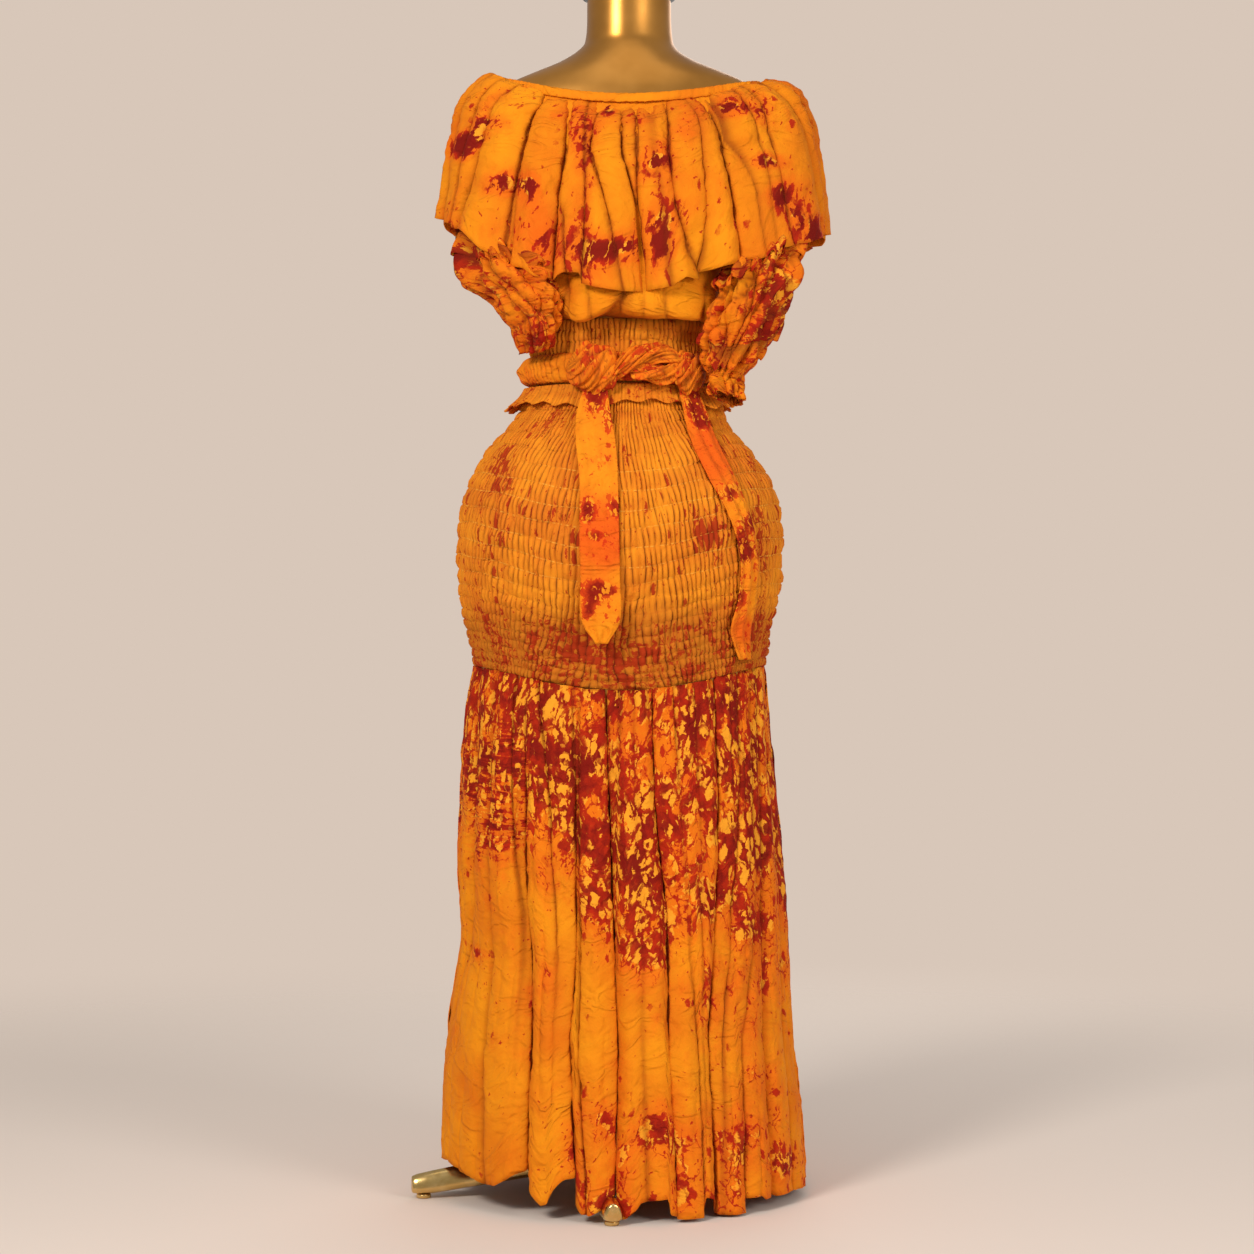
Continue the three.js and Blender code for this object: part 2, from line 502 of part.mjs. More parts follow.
// The belt: a soft band round the waist, a twisted roll and two knots at the back, and two hanging ends
function makeBelt() {
  const rows = [{ z: 1036, out: 4.7 }, { z: 1028, out: 12.5 }, { z: 1018, out: 14.5 }, { z: 1008, out: 12.5 },
    { z: 1000, out: 8 }];
  const count = 36;
  const grid = rows.map((row, i) => ringOf(count, j => onForm(turn(j, count), row.z,
    row.out + (i === 0 || i === 4 ? 0 : 1.3 * Math.sin(j * 2.7 + i)))));
  addWall('belt_band', grid, CLOTH, true, SASH);

  // Knots and roll, seated on the band: place across, half depth and half height, from left to right
  const lump = (name, rings) => addLoft(name, rings.map(ring => {
    const reach = outlineAt(FORM, 1018);
    const share = ring.x / ((ring.x < 0 ? reach.left : reach.right) + 15.6);
    const y = -(reach.back + 16.2 + ring.lift) * Math.sqrt(1 - share * share) - ring.deep;
    return ringOf(10, j => {
      const angle = turn(j, 10);
      const pleat = 1 + 0.08 * Math.cos(5 * angle);
      return new THREE.Vector3(
        ring.x,
        y + ring.deep * Math.cos(angle) * pleat,
        ring.z + ring.tall * Math.sin(angle) * pleat,
      );
    });
  }), SASH);
  lump('belt_knot_left', [
    { x: -66, z: 1016, deep: 5, tall: 9, lift: 0.5 }, { x: -52, z: 1014, deep: 9, tall: 20, lift: 0.7 },
    { x: -34, z: 1014, deep: 11, tall: 24, lift: 0.7 }, { x: -18, z: 1018, deep: 10, tall: 18, lift: 0 },
    { x: -8, z: 1020, deep: 7, tall: 10, lift: 3 },
  ]);
  lump('belt_roll', [
    { x: -7.6, z: 1020, deep: 9, tall: 12, lift: 1 }, { x: 8, z: 1023, deep: 11, tall: 15, lift: 2 },
    { x: 26, z: 1026, deep: 11, tall: 13, lift: 2 }, { x: 44, z: 1026, deep: 10, tall: 14, lift: 2 },
    { x: 58, z: 1020, deep: 9, tall: 13, lift: 1 },
  ]);
  lump('belt_knot_right', [
    { x: 58.4, z: 1014, deep: 8, tall: 12, lift: 2 }, { x: 70, z: 1010, deep: 10, tall: 17, lift: 0 },
    { x: 84, z: 1008, deep: 10, tall: 16, lift: 0 }, { x: 96, z: 1010, deep: 7, tall: 9, lift: 0 },
  ]);

  // Hanging ends: the middle line down the back of the hip tube, and half the width there
  const endLeft = [
    { x: -36, z: 989.4, half: 15, out: 21.4 }, { x: -36, z: 965, half: 19, out: 21 }, { x: -33, z: 930, half: 22, out: 13 },
    { x: -30, z: 880, half: 22, out: 11 }, { x: -29, z: 820, half: 22.5, out: 11 }, { x: -28, z: 760, half: 22.5, out: 13 },
    { x: -27, z: 708, half: 22, out: 25 }, { x: -26, z: 680, half: 7, out: 31 },
  ];
  const endRight = [
    { x: 78, z: 992.2, half: 13, out: 17 }, { x: 86, z: 962, half: 17, out: 20 }, { x: 96, z: 930, half: 19, out: 12 },
    { x: 120, z: 878, half: 20, out: 10 }, { x: 142, z: 828, half: 17, out: 10 }, { x: 152, z: 780, half: 16, out: 10 },
    { x: 149, z: 732, half: 16, out: 11 }, { x: 142, z: 696, half: 17, out: 12 }, { x: 148, z: 660, half: 13, out: 13 },
  ];
  for (const [name, table] of [['belt_end_left', endLeft], ['belt_end_right', endRight]]) {
    const grid = table.map(row => {
      const reach = outlineAt(FORM, row.z);
      const side = Math.acos(row.x / (reach.right + row.out));
      const turned = row.half / Math.hypot((reach.back + row.out) * Math.cos(side), (reach.right + row.out) * Math.sin(side));
      return [-1, -0.4, 0.4, 1].map(share => oval(reach, -side + share * turned, row.out + 1.5 * (1 - share * share), row.z));
    });
    addWall(name, grid, CLOTH, false, SASH);
  }
}

makeForm();
makeStand();
makeSmocking('waist_smocking', WAIST_TOP, () => WAIST_SEAM + SEAM_GAP, 4);
makeSmocking('hip_smocking', WAIST_SEAM, hipSeam, 13);
makeSkirt();
makeCasing();
makeRuffle();
makeBodice();
makeSleeve('sleeve_left', SLEEVE_LEFT, -1);
makeSleeve('sleeve_right', SLEEVE_RIGHT, 1);
makeWaistFrill();
makeBelt();

// The origin lies on the floor under the middle of the whole
const bounds = new THREE.Box3().setFromObject(group);
const middle = bounds.getCenter(new THREE.Vector3()).setZ(bounds.min.z);
group.children.forEach(mesh => mesh.position.sub(middle));

export default group;
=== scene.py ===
import math

import bpy
import numpy as np
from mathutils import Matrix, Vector, noise


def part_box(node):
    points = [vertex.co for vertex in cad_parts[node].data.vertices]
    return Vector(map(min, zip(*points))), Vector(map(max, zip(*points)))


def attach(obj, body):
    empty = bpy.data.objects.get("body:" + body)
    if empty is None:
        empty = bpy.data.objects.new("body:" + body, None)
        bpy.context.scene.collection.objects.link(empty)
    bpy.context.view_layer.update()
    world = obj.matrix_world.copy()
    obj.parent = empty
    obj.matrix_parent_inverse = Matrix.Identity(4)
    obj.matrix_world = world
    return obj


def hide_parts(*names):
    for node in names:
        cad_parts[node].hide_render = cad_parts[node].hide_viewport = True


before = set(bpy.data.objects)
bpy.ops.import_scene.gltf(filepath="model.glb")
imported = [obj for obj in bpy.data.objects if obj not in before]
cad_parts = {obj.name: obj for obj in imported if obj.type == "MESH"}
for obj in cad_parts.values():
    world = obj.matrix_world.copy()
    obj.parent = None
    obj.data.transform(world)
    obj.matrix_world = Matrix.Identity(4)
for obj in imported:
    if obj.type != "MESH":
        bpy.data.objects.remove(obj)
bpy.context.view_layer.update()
bpy.ops.object.select_all(action="DESELECT")

# The tables below are in millimetres about the middle of the form. In the frame the stand's pole shows
# where that middle is: it stands 50 mm to the left of it and 30 mm behind it.
pole_low, pole_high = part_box("stand_pole")
SHIFT = np.array([(pole_low.x + pole_high.x) / 2 + 0.050, (pole_low.y + pole_high.y) / 2 + 0.030, 0])


# The studio: a level camera well back at hip height, a plain warm backdrop, a pale floor that fades into
# it, a broad light from the upper left and a weaker one from the right.
bpy.ops.object.camera_add(location=(SHIFT[0] + 0.0025, SHIFT[1] - 3.6, 0.7), rotation=(math.pi / 2, 0, 0))
camera = bpy.context.object
camera.data.lens = 82.68
camera.data.sensor_width = 36
bpy.context.scene.camera = camera
bpy.context.scene.view_settings.view_transform = "Standard"

BACKDROP = (0.687, 0.571, 0.485)
backdrop = bpy.data.worlds.new("backdrop")
backdrop.use_nodes = True
shown = backdrop.node_tree.nodes["Background"]
shown.inputs["Color"].default_value = (*BACKDROP, 1)
glow = backdrop.node_tree.nodes.new("ShaderNodeBackground")
glow.inputs["Color"].default_value = (0.62, 0.60, 0.58, 1)
glow.inputs["Strength"].default_value = 0.60
ray = backdrop.node_tree.nodes.new("ShaderNodeLightPath")
either = backdrop.node_tree.nodes.new("ShaderNodeMixShader")
backdrop.node_tree.links.new(ray.outputs["Is Camera Ray"], either.inputs[0])
backdrop.node_tree.links.new(glow.outputs[0], either.inputs[1])
backdrop.node_tree.links.new(shown.outputs[0], either.inputs[2])
backdrop.node_tree.links.new(either.outputs[0], backdrop.node_tree.nodes["World Output"].inputs["Surface"])
bpy.context.scene.world = backdrop


def soft_light(name, place, aim, size, watts, colour):
    bpy.ops.object.light_add(type="AREA", location=place)
    light = bpy.context.object
    light.name = name
    light.rotation_mode = "QUATERNION"
    light.rotation_quaternion = (Vector(aim) - Vector(place)).to_track_quat("-Z", "Y")
    light.data.shape = "DISK"
    light.data.size = size
    light.data.energy = watts
    light.data.color = colour


soft_light("key", (-1.5, -2.5, 2.3), (0, 0, 0.75), 0.9, 66, (1, 0.96, 0.91))
soft_light("fill", (2.1, -2.4, 1.5), (0, 0, 0.7), 1.3, 40, (1, 0.96, 0.92))
soft_light("top", (0.1, -0.7, 3.2), (0, 0, 1.0), 1.4, 4, (1, 0.97, 0.94))
soft_light("rear", (0.7, 3.0, 1.6), (0, 0, 0.8), 2.6, 30, (1, 0.97, 0.94))


class Wire:
    """A socket's value; + - * and abs() on wires and numbers add Math nodes."""

    def __init__(self, finish, socket):
        self.finish = finish
        self.socket = socket

    def math(self, operation, *values):
        return self.finish.add("ShaderNodeMath", {"operation": operation}, values)

    def __add__(self, other):
        return self.math("ADD", self, other)

    def __sub__(self, other):
        return self.math("SUBTRACT", self, other)

    def __rsub__(self, other):
        return self.math("SUBTRACT", other, self)

    def __mul__(self, other):
        return self.math("MULTIPLY", self, other)

    def __abs__(self):
        return self.math("ABSOLUTE", self)

    def most(self, other):
        return self.math("MAXIMUM", self, other)

    def above(self, low, high):
        """0 under low, 1 over high, and smooth between them."""
        return self.finish.add("ShaderNodeMapRange", {"interpolation_type": "SMOOTHSTEP"}, (self, low, high))

    __radd__ = __add__
    __rmul__ = __mul__


SOCKETS = {"base_color": "Base Color", "metallic": "Metallic", "roughness": "Roughness", "normal": "Normal",
           "specular_ior_level": "Specular IOR Level"}


class Finish:
    """A material on one main shader, built up node by node."""

    def __init__(self, name):
        self.material = bpy.data.materials.new(name)
        self.material.use_nodes = True
        self.tree = self.material.node_tree
        self.shader = self.tree.nodes["Principled BSDF"]

    def add(self, kind, settings, sockets, output=0):
        node = self.tree.nodes.new(kind)
        for key, value in settings.items():
            setattr(node, key, value)
        for key, value in sockets.items() if isinstance(sockets, dict) else enumerate(sockets):
            self.fill(node.inputs[key], value)
        return Wire(self, node.outputs[output])

    def fill(self, socket, value):
        if isinstance(value, Wire):
            self.tree.links.new(value.socket, socket)
        else:
            size = len(socket.default_value) if hasattr(socket.default_value, "__len__") else 0
            socket.default_value = (*value, 1) if size == 4 and len(value) == 3 else value

    def mixed(self, share, first, second):
        return self.add("ShaderNodeMix", {"data_type": "RGBA"}, {0: share, 6: first, 7: second}, output=2)

    def coated(self, colour, *coats):
        """A colour with coats laid over it in turn, each given as its share and its colour."""
        for share, coat in coats:
            colour = self.mixed(share, colour, coat)
        return colour

    def place(self):
        return self.add("ShaderNodeTexCoord", {}, (), output=3)

    def cloth(self):
        return self.add("ShaderNodeUVMap", {"uv_map": "cloth"}, ())

    def axis(self, vector, index):
        return self.add("ShaderNodeSeparateXYZ", {}, (vector,), output=index)

    def scaled(self, vector, *factors):
        return self.add("ShaderNodeVectorMath", {"operation": "MULTIPLY"}, (vector, factors))

    def cloud(self, vector, scale, detail=2, roughness=0.5, distortion=0.0, output=0):
        return self.add("ShaderNodeTexNoise", {}, {"Vector": vector, "Scale": scale, "Detail": detail,
                                                   "Roughness": roughness, "Distortion": distortion}, output)

    def drawn(self, cloth, across, down, **settings):
        """A cloud of so many patches to the metre across the cloth and down it."""
        return self.cloud(self.scaled(cloth, across, down, 1), 1, **settings)

    def cells(self, vector, scale, feature="DISTANCE_TO_EDGE", output=0):
        sockets = {"Vector": vector, "Scale": scale}
        return self.add("ShaderNodeTexVoronoi", {"feature": feature}, sockets, output)

    def spots(self, vector, scale, part):
        """Scattered spots: the way to the nearest one's middle, and a random number of its own."""
        chance = self.axis(self.cells(vector, scale, "F1", output=1), part)
        return self.cells(vector, scale, "F1"), chance

    def bump(self, height, depth, normal=None):
        sockets = {"Height": height, "Distance": depth}
        if normal is not None:
            sockets["Normal"] = normal
        return self.add("ShaderNodeBump", {}, sockets)

    def done(self, **sockets):
        for key, value in sockets.items():
            self.fill(self.shader.inputs[SOCKETS[key]], value)
        return self.material


bpy.ops.mesh.primitive_circle_add(vertices=96, radius=3.2, fill_type="NGON", location=(0, 0, -0.0005))
floor = bpy.context.object
floor.name = "studio_floor"
paper = Finish("studio_paper")
away = paper.add("ShaderNodeVectorMath", {"operation": "LENGTH"}, (paper.place(),), output=1)
clear = paper.add("ShaderNodeBsdfTransparent", {}, ())
lit = Wire(paper, paper.shader.outputs[0])
fade = paper.add("ShaderNodeMixShader", {}, {0: away.above(1.0, 2.6), 1: lit, 2: clear})
paper.tree.links.new(fade.socket, paper.tree.nodes["Material Output"].inputs["Surface"])
floor.data.materials.append(paper.done(base_color=(0.79, 0.685, 0.605), roughness=0.9))


# The stand: a hub on a pole, with four arched legs that end in small round pads. Cast brass, polished to
# a mirror and a little cloudy with handling; the legs are flat below and rounded above.
def polished_brass():
    metal = Finish("polished_brass")
    smear = metal.cloud(metal.place(), 45, detail=4, roughness=0.6)
    streak = metal.cloud(metal.scaled(metal.place(), 30, 30, 8), 6, detail=3)
    colour = metal.mixed(smear.above(0.35, 0.75), (0.62, 0.40, 0.13), (0.78, 0.56, 0.24))
    return metal.done(base_color=colour, metallic=1.0, roughness=0.13 + 0.14 * smear + 0.05 * streak,
                      normal=metal.bump(streak, 0.00004))


BRASS = polished_brass()
for node in ("stand_flange", "stand_pole", "stand_hub"):
    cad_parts[node].data.materials.clear()
    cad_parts[node].data.materials.append(BRASS)

HUB = SHIFT + (-0.050, -0.030, 0)
# Down a leg: distance from the hub's axis, half width, underside and crest
LEG = [(0.0297, 0.013, 0.026, 0.066), (0.075, 0.013, 0.020, 0.055), (0.130, 0.013, 0.013, 0.043),
       (0.188, 0.0125, 0.0053, 0.033), (0.208, 0.0118, 0.0053, 0.029), (0.215, 0.0095, 0.0062, 0.0265)]
# Depth of a leg's flat lower half, as a share of its round upper half
FLATTER = 0.22


def edit(kind):
    bpy.ops.object.mode_set(mode="EDIT")
    bpy.ops.mesh.select_mode(type=kind)


def turned_out():
    """Turns the faces of the active piece outwards."""
    edit("VERT")
    bpy.ops.mesh.select_all(action="SELECT")
    bpy.ops.mesh.normals_make_consistent(inside=False)
    bpy.ops.object.mode_set(mode="OBJECT")


def finished(piece, name, width, angle):
    """Rounds the edges that are sharper than an angle, smooths the piece and names it."""
    bevel = piece.modifiers.new("Bevel", "BEVEL")
    bevel.width = width
    bevel.segments = 3
    bevel.angle_limit = math.radians(angle)
    bpy.ops.object.modifier_apply(modifier="Bevel")
    bpy.ops.object.shade_smooth_by_angle(angle=math.radians(40))
    piece.name = name
    piece.data.name = name
    return piece


def fitted(piece, node, material):
    """Gives a piece its material and sets it on the body in place of its CAD node."""
    piece.data.materials.append(material)
    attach(piece, "root")
    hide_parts(node)


def stand_leg():
    """One leg along X: half a round on a flatter half, drawn out and resized from place to place."""
    bpy.ops.mesh.primitive_circle_add(vertices=32, radius=1, fill_type="NGON", rotation=(0, math.pi / 2, 0))
    leg = bpy.context.object
    bpy.ops.object.transform_apply(rotation=True)
    edit("VERT")
    bpy.ops.mesh.select_all(action="DESELECT")
    bpy.ops.object.mode_set(mode="OBJECT")
    for vertex in leg.data.vertices:
        vertex.select = vertex.co.z < 0
    edit("VERT")
    bpy.ops.transform.resize(value=(1, 1, FLATTER), center_override=(0, 0, 0))
    bpy.ops.mesh.select_all(action="SELECT")
    low_share = FLATTER / (1 + FLATTER)
    reach, half, under, crest = LEG[0]
    tall = (crest - under) / (1 + FLATTER)
    bpy.ops.transform.resize(value=(1, half, tall), center_override=(0, 0, 0))
    bpy.ops.transform.translate(value=(reach, 0, under + (crest - under) * low_share))
    for (_, half_was, under_was, crest_was), (reach_now, half, under, crest) in zip(LEG, LEG[1:]):
        height_was = under_was + (crest_was - under_was) * low_share
        height = under + (crest - under) * low_share
        bpy.ops.mesh.extrude_region_move(
            TRANSFORM_OT_translate={"value": (reach_now - reach, 0, height - height_was)})
        bpy.ops.transform.resize(value=(1, half / half_was, (crest - under) / (crest_was - under_was)),
                                 center_override=(reach_now, 0, height))
        reach = reach_now
    turned_out()
    return finished(leg, "leg", 0.0025, 50)


bpy.ops.object.select_all(action="DESELECT")
pattern_leg = stand_leg()
for number, degrees in enumerate((190, 280, 10, 100), start=1):
    bpy.ops.object.select_all(action="DESELECT")
    leg = pattern_leg.copy()
    leg.data = pattern_leg.data.copy()
    leg.name = f"leg_{number}"
    bpy.context.collection.objects.link(leg)
    leg.select_set(True)
    bpy.context.view_layer.objects.active = leg
    leg.rotation_euler = (0, 0, math.radians(degrees))
    leg.location = HUB
    bpy.ops.object.transform_apply(location=True, rotation=True)
    fitted(leg, f"stand_leg_{number}", BRASS)
    bpy.ops.object.select_all(action="DESELECT")
    angle = math.radians(degrees)
    spot = (HUB[0] + 0.200 * math.cos(angle), HUB[1] + 0.200 * math.sin(angle), 0.0025)
    bpy.ops.mesh.primitive_cylinder_add(vertices=40, radius=0.009, depth=0.005, location=spot)
    pad = bpy.context.object
    bpy.ops.object.transform_apply(location=True)
    finished(pad, f"pad_{number}", 0.0012, 50)
    fitted(pad, f"foot_pad_{number}", BRASS)
bpy.data.objects.remove(pattern_leg)


# The dress form: a smooth torso with a cut neck and no limbs, moulded and sprayed in satin gold lacquer.
# Its outline is given by height, as reach to the left, right, back and front of the middle.
FORM = [
    (1484, 47, 57, 54, 50), (1430, 50, 60, 57, 50), (1416, 62, 70, 61, 54), (1402, 86, 95, 67, 59),
    (1390, 116, 126, 73, 65), (1377, 145, 154, 79, 73), (1360, 157, 166, 86, 82), (1330, 158, 165, 95, 94),
    (1280, 151, 158, 103, 112), (1220, 147, 151, 104, 130), (1100, 121, 122, 90, 104),
    (1077, 117, 117, 87, 98), (999, 113, 112, 87, 90), (975, 122, 117, 94, 93), (945, 146, 131, 109, 98),
    (910, 175, 160, 130, 105), (870, 194, 183, 149, 112), (825, 205, 192, 160, 118),
    (780, 205, 192, 160, 121), (735, 201, 187, 150, 120), (690, 192, 177, 136, 116),
    (640, 183, 170, 126, 111), (600, 178, 166, 122, 108),
]


def outline_at(table, height):
    """A table's other columns at any value of its first one, such as a height, on a smooth curve."""
    rows = np.array(sorted(table), float)
    key = rows[:, 0]
    slope = np.empty_like(rows)
    slope[1:-1] = (rows[2:] - rows[:-2]) / (key[2:] - key[:-2])[:, None]
    slope[0] = (rows[1] - rows[0]) / (key[1] - key[0])
    slope[-1] = (rows[-1] - rows[-2]) / (key[-1] - key[-2])
    low = np.clip(np.searchsorted(key, height) - 1, 0, len(key) - 2)
    span = key[low + 1] - key[low]
    t = np.clip((height - key[low]) / span, 0, 1)
    return [(2 * t**3 - 3 * t**2 + 1) * rows[low, k] + (t**3 - 2 * t**2 + t) * span * slope[low, k]
            + (3 * t**2 - 2 * t**3) * rows[low + 1, k] + (t**3 - t**2) * span * slope[low + 1, k]
            for k in range(1, rows.shape[1])]


def oval(reach, angle, out, height):
    """Points round an oval of four different reaches, each moved out by some distance."""
    left, right, back, front = reach
    c = np.cos(angle)
    s = np.sin(angle)
    x = (np.where(c > 0, right, left) + out) * c
    y = (np.where(s > 0, front, back) + out) * s
    return np.stack(np.broadcast_arrays(x, y, height), axis=-1)


# Points nearer than this, in metres, are one point
MERGE = 0.00004


def spread(name, surface, flat=(1, 1), closed=True, wall=0.0, marks={}):
    """Lays a fine grid over rows of points, from the bottom row up, as cloth of a flat size. Closed joins
    the two ends of each row, wall gives the cloth its thickness inwards, in mm, and each mark is a share
    that the material reads at every point."""
    rows = surface.shape[0] - 1
    columns = surface.shape[1] - 1
    bpy.ops.object.select_all(action="DESELECT")
    bpy.ops.mesh.primitive_grid_add(x_subdivisions=columns, y_subdivisions=rows, size=1)
    piece = bpy.context.object
    mesh = piece.data
    spots = np.empty(len(mesh.vertices) * 3)
    mesh.vertices.foreach_get("co", spots)
    share = spots.reshape(-1, 3)[:, :2] + 0.5
    column = np.rint(share[:, 0] * columns).astype(int)
    row = np.rint(share[:, 1] * rows).astype(int)
    mesh.vertices.foreach_set("co", (surface[row, column] * 0.001 + SHIFT).ravel())
    for title, shares in marks.items():
        attribute = mesh.attributes.new(title, "FLOAT", "POINT")
        attribute.data.foreach_set("value", shares[row, column].astype(np.float32))
    layer = mesh.uv_layers.active
    layer.name = "cloth"
    spots = np.empty(len(layer.data) * 2)
    layer.data.foreach_get("uv", spots)
    layer.data.foreach_set("uv", (spots.reshape(-1, 2) * flat).ravel())
    if closed:
        edit("VERT")
        bpy.ops.mesh.select_all(action="SELECT")
        bpy.ops.mesh.remove_doubles(threshold=MERGE)
        bpy.ops.object.mode_set(mode="OBJECT")
    mesh.update()
    if wall:
        modifier = piece.modifiers.new("wall", "SOLIDIFY")
        modifier.thickness = wall * 0.001
        modifier.offset = -1
        bpy.ops.object.modifier_apply(modifier="wall")
    bpy.ops.object.shade_smooth()
    piece.name = name
    mesh.name = name
    return piece


def round_columns(count):
    return np.linspace(0, 2 * np.pi, count + 1)


def capped():
    """Closes the open ends of the active piece with a face each."""
    edit("EDGE")
    bpy.ops.mesh.select_all(action="DESELECT")
    bpy.ops.mesh.select_non_manifold(extend=False)
    bpy.ops.mesh.edge_face_add()
    bpy.ops.object.mode_set(mode="OBJECT")


def gold_lacquer():
    gold = Finish("gold_lacquer")
    mottle = gold.cloud(gold.place(), 14, detail=3)
    grain = gold.cloud(gold.place(), 900, detail=2)
    colour = gold.mixed(mottle.above(0.3, 0.7), (0.52, 0.228, 0.042), (0.66, 0.305, 0.064))
    return gold.done(base_color=colour, metallic=0.95, roughness=0.28 + 0.06 * mottle + 0.04 * grain,
                     normal=gold.bump(grain, 0.00002))


heights = np.concatenate([np.linspace(600, 1360, 50), np.linspace(1364, 1484, 40)])[:, None]
torso = spread("form_shell", oval(outline_at(FORM, heights), round_columns(96)[None, :], 0, heights))
capped()
finished(torso, "form_shell", 0.003, 60)
fitted(torso, "form_torso", gold_lacquer())

# The cap that closes the neck: a low turned disc in dark lacquer, set on the cut
bpy.ops.object.select_all(action="DESELECT")
bpy.ops.mesh.primitive_cylinder_add(vertices=72, radius=0.059, depth=0.010,
                                    location=(SHIFT[0] + 0.005, SHIFT[1] - 0.002, 1.4895))
cap = bpy.context.object
bpy.ops.object.transform_apply(location=True)
edit("FACE")
bpy.ops.mesh.select_all(action="DESELECT")
bpy.ops.object.mode_set(mode="OBJECT")
for face in cap.data.polygons:
    face.select = face.normal.z > 0.9
edit("FACE")
bpy.ops.mesh.inset(thickness=0.012)
bpy.ops.transform.translate(value=(0, 0, 0.004))
bpy.ops.object.mode_set(mode="OBJECT")
finished(cap, "form_cap", 0.002, 10)
dark = Finish("dark_cap")
ring = dark.cloud(dark.place(), 60, detail=3)
shade = dark.mixed(ring, (0.018, 0.012, 0.009), (0.03, 0.02, 0.015))
fitted(cap, "neck_cap", dark.done(base_color=shade, roughness=0.35 + 0.2 * ring))


# The hip tube: cotton shirred on 22 rows of elastic thread, far apart in the middle and close together at
# both ends. Between the rows the cloth puffs out in small tucks. It grips the form.
def hip_seam(angle):
    return 638 + 14 * np.cos(angle) ** 2 - 14 * np.maximum(0, -np.sin(angle)) ** 4


# The front's patches mirror the back's about a line 12 mm to the right of the middle
TWICE_MIRROR = 24


def stained(surface, places):
    """How much more dye there is at each point, from patches placed on the back: across, height,
    half width, half height, strength. The front has the same patches the other way round."""
    across = np.where(surface[..., 1] < 0, surface[..., 0], TWICE_MIRROR - surface[..., 0])
    return sum(strength * np.exp(-(((across - x) / wide) ** 2) - ((surface[..., 2] - z) / tall) ** 2)
               for x, z, wide, tall, strength in places)


def marked(finish, name):
    """A share that was worked out for each point of the mesh, such as how deep it lies."""
    return finish.add("ShaderNodeAttribute", {"attribute_name": name}, (), output=2)


def dyed(finish, cloth, weight, drops, lace=0.25):
    """Red dye over waxed cloth. Where weight is above lace it covers the cloth and spares drops and petals of
    wax; under that it runs in thin lines where the wax has cracked. Gives the shares of haze, red and dark
    red, and how far a spared drop is bleached."""
    push = finish.cloud(cloth, 38, detail=5, roughness=0.72, output=1)
    push = finish.add("ShaderNodeVectorMath", {"operation": "MULTIPLY_ADD"}, (push, (0.027, 0.027, 0), cloth))
    petal = finish.scaled(push, 1.30, 0.95, 1)
    patch = finish.cloud(push, 17, detail=6, roughness=0.68)
    broken = 0.30 + 1.15 * finish.cloud(push, 36, detail=3, roughness=0.6)
    load = weight + marked(finish, "stain") * broken + (patch - 0.5) * 4.2
    tight = load.above(0.5, 1.8) * 0.10
    large, large_size = finish.spots(petal, drops, 0)
    small, small_size = finish.spots(petal, drops * 2.4, 1)
    spared = (0.29 + 0.48 * large_size - tight - large).above(0, 0.05)
    spotted = (0.05 + 0.50 * small_size - tight - small).above(0, 0.08)
    bare = spared.most(spotted)
    flood = (load - lace).above(0, 0.10)
    crack = 0.125 * load.above(-0.4, 1.0) - finish.cells(petal, drops * 0.90)
    web = crack.above(0.0, 0.035) * finish.cloud(push, 60, detail=2).above(0.36, 0.50)
    red = (flood * (1 - bare)).most(web)
    fleck, chosen = finish.spots(push, drops * 3.0, 2)
    flecks = (0.26 + 0.10 * load - fleck).above(0, 0.07) * chosen.above(0.72, 0.80) * load.above(-1.5, -0.7)
    dab, picked = finish.spots(petal, drops * 1.1, 1)
    dabs = (0.34 + 0.16 * load - dab).above(0, 0.08) * picked.above(0.62, 0.74) * load.above(-1.1, -0.35)
    red = red.most(flecks.most(dabs))
    haze = load.above(-0.9, 0.5)
    core = (load + finish.cloud(push, 90, detail=3) * 1.6).above(1.0, 2.1)
    return haze, red, core, flood * bare


def cotton_bump(finish, cloth, wrinkle):
    """Thread, fine crumple and soft creases, in cloth lengths."""
    wave = finish.drawn(cloth, 24, 30, detail=5, roughness=0.6, distortion=0.7)
    pinch = finish.drawn(cloth, 15, 26, detail=2, distortion=1.2)
    pinch = (1 - abs(pinch - 0.5) * 7).above(0, 1)
    crumple = finish.cloud(cloth, 150, detail=5, roughness=0.62)
    thread = finish.drawn(cloth, 1400, 500, detail=1)
    first = finish.bump(wave, wrinkle * 2.8)
    second = finish.bump(pinch, wrinkle * 1.3, first)
    third = finish.bump(crumple, wrinkle * 0.8, second)
    return finish.bump(thread, 0.00010, third)


def cotton_done(finish, cloth, colour, wrinkle):
    return finish.done(base_color=colour, roughness=0.85, specular_ior_level=0.15,
                       normal=cotton_bump(finish, cloth, wrinkle))


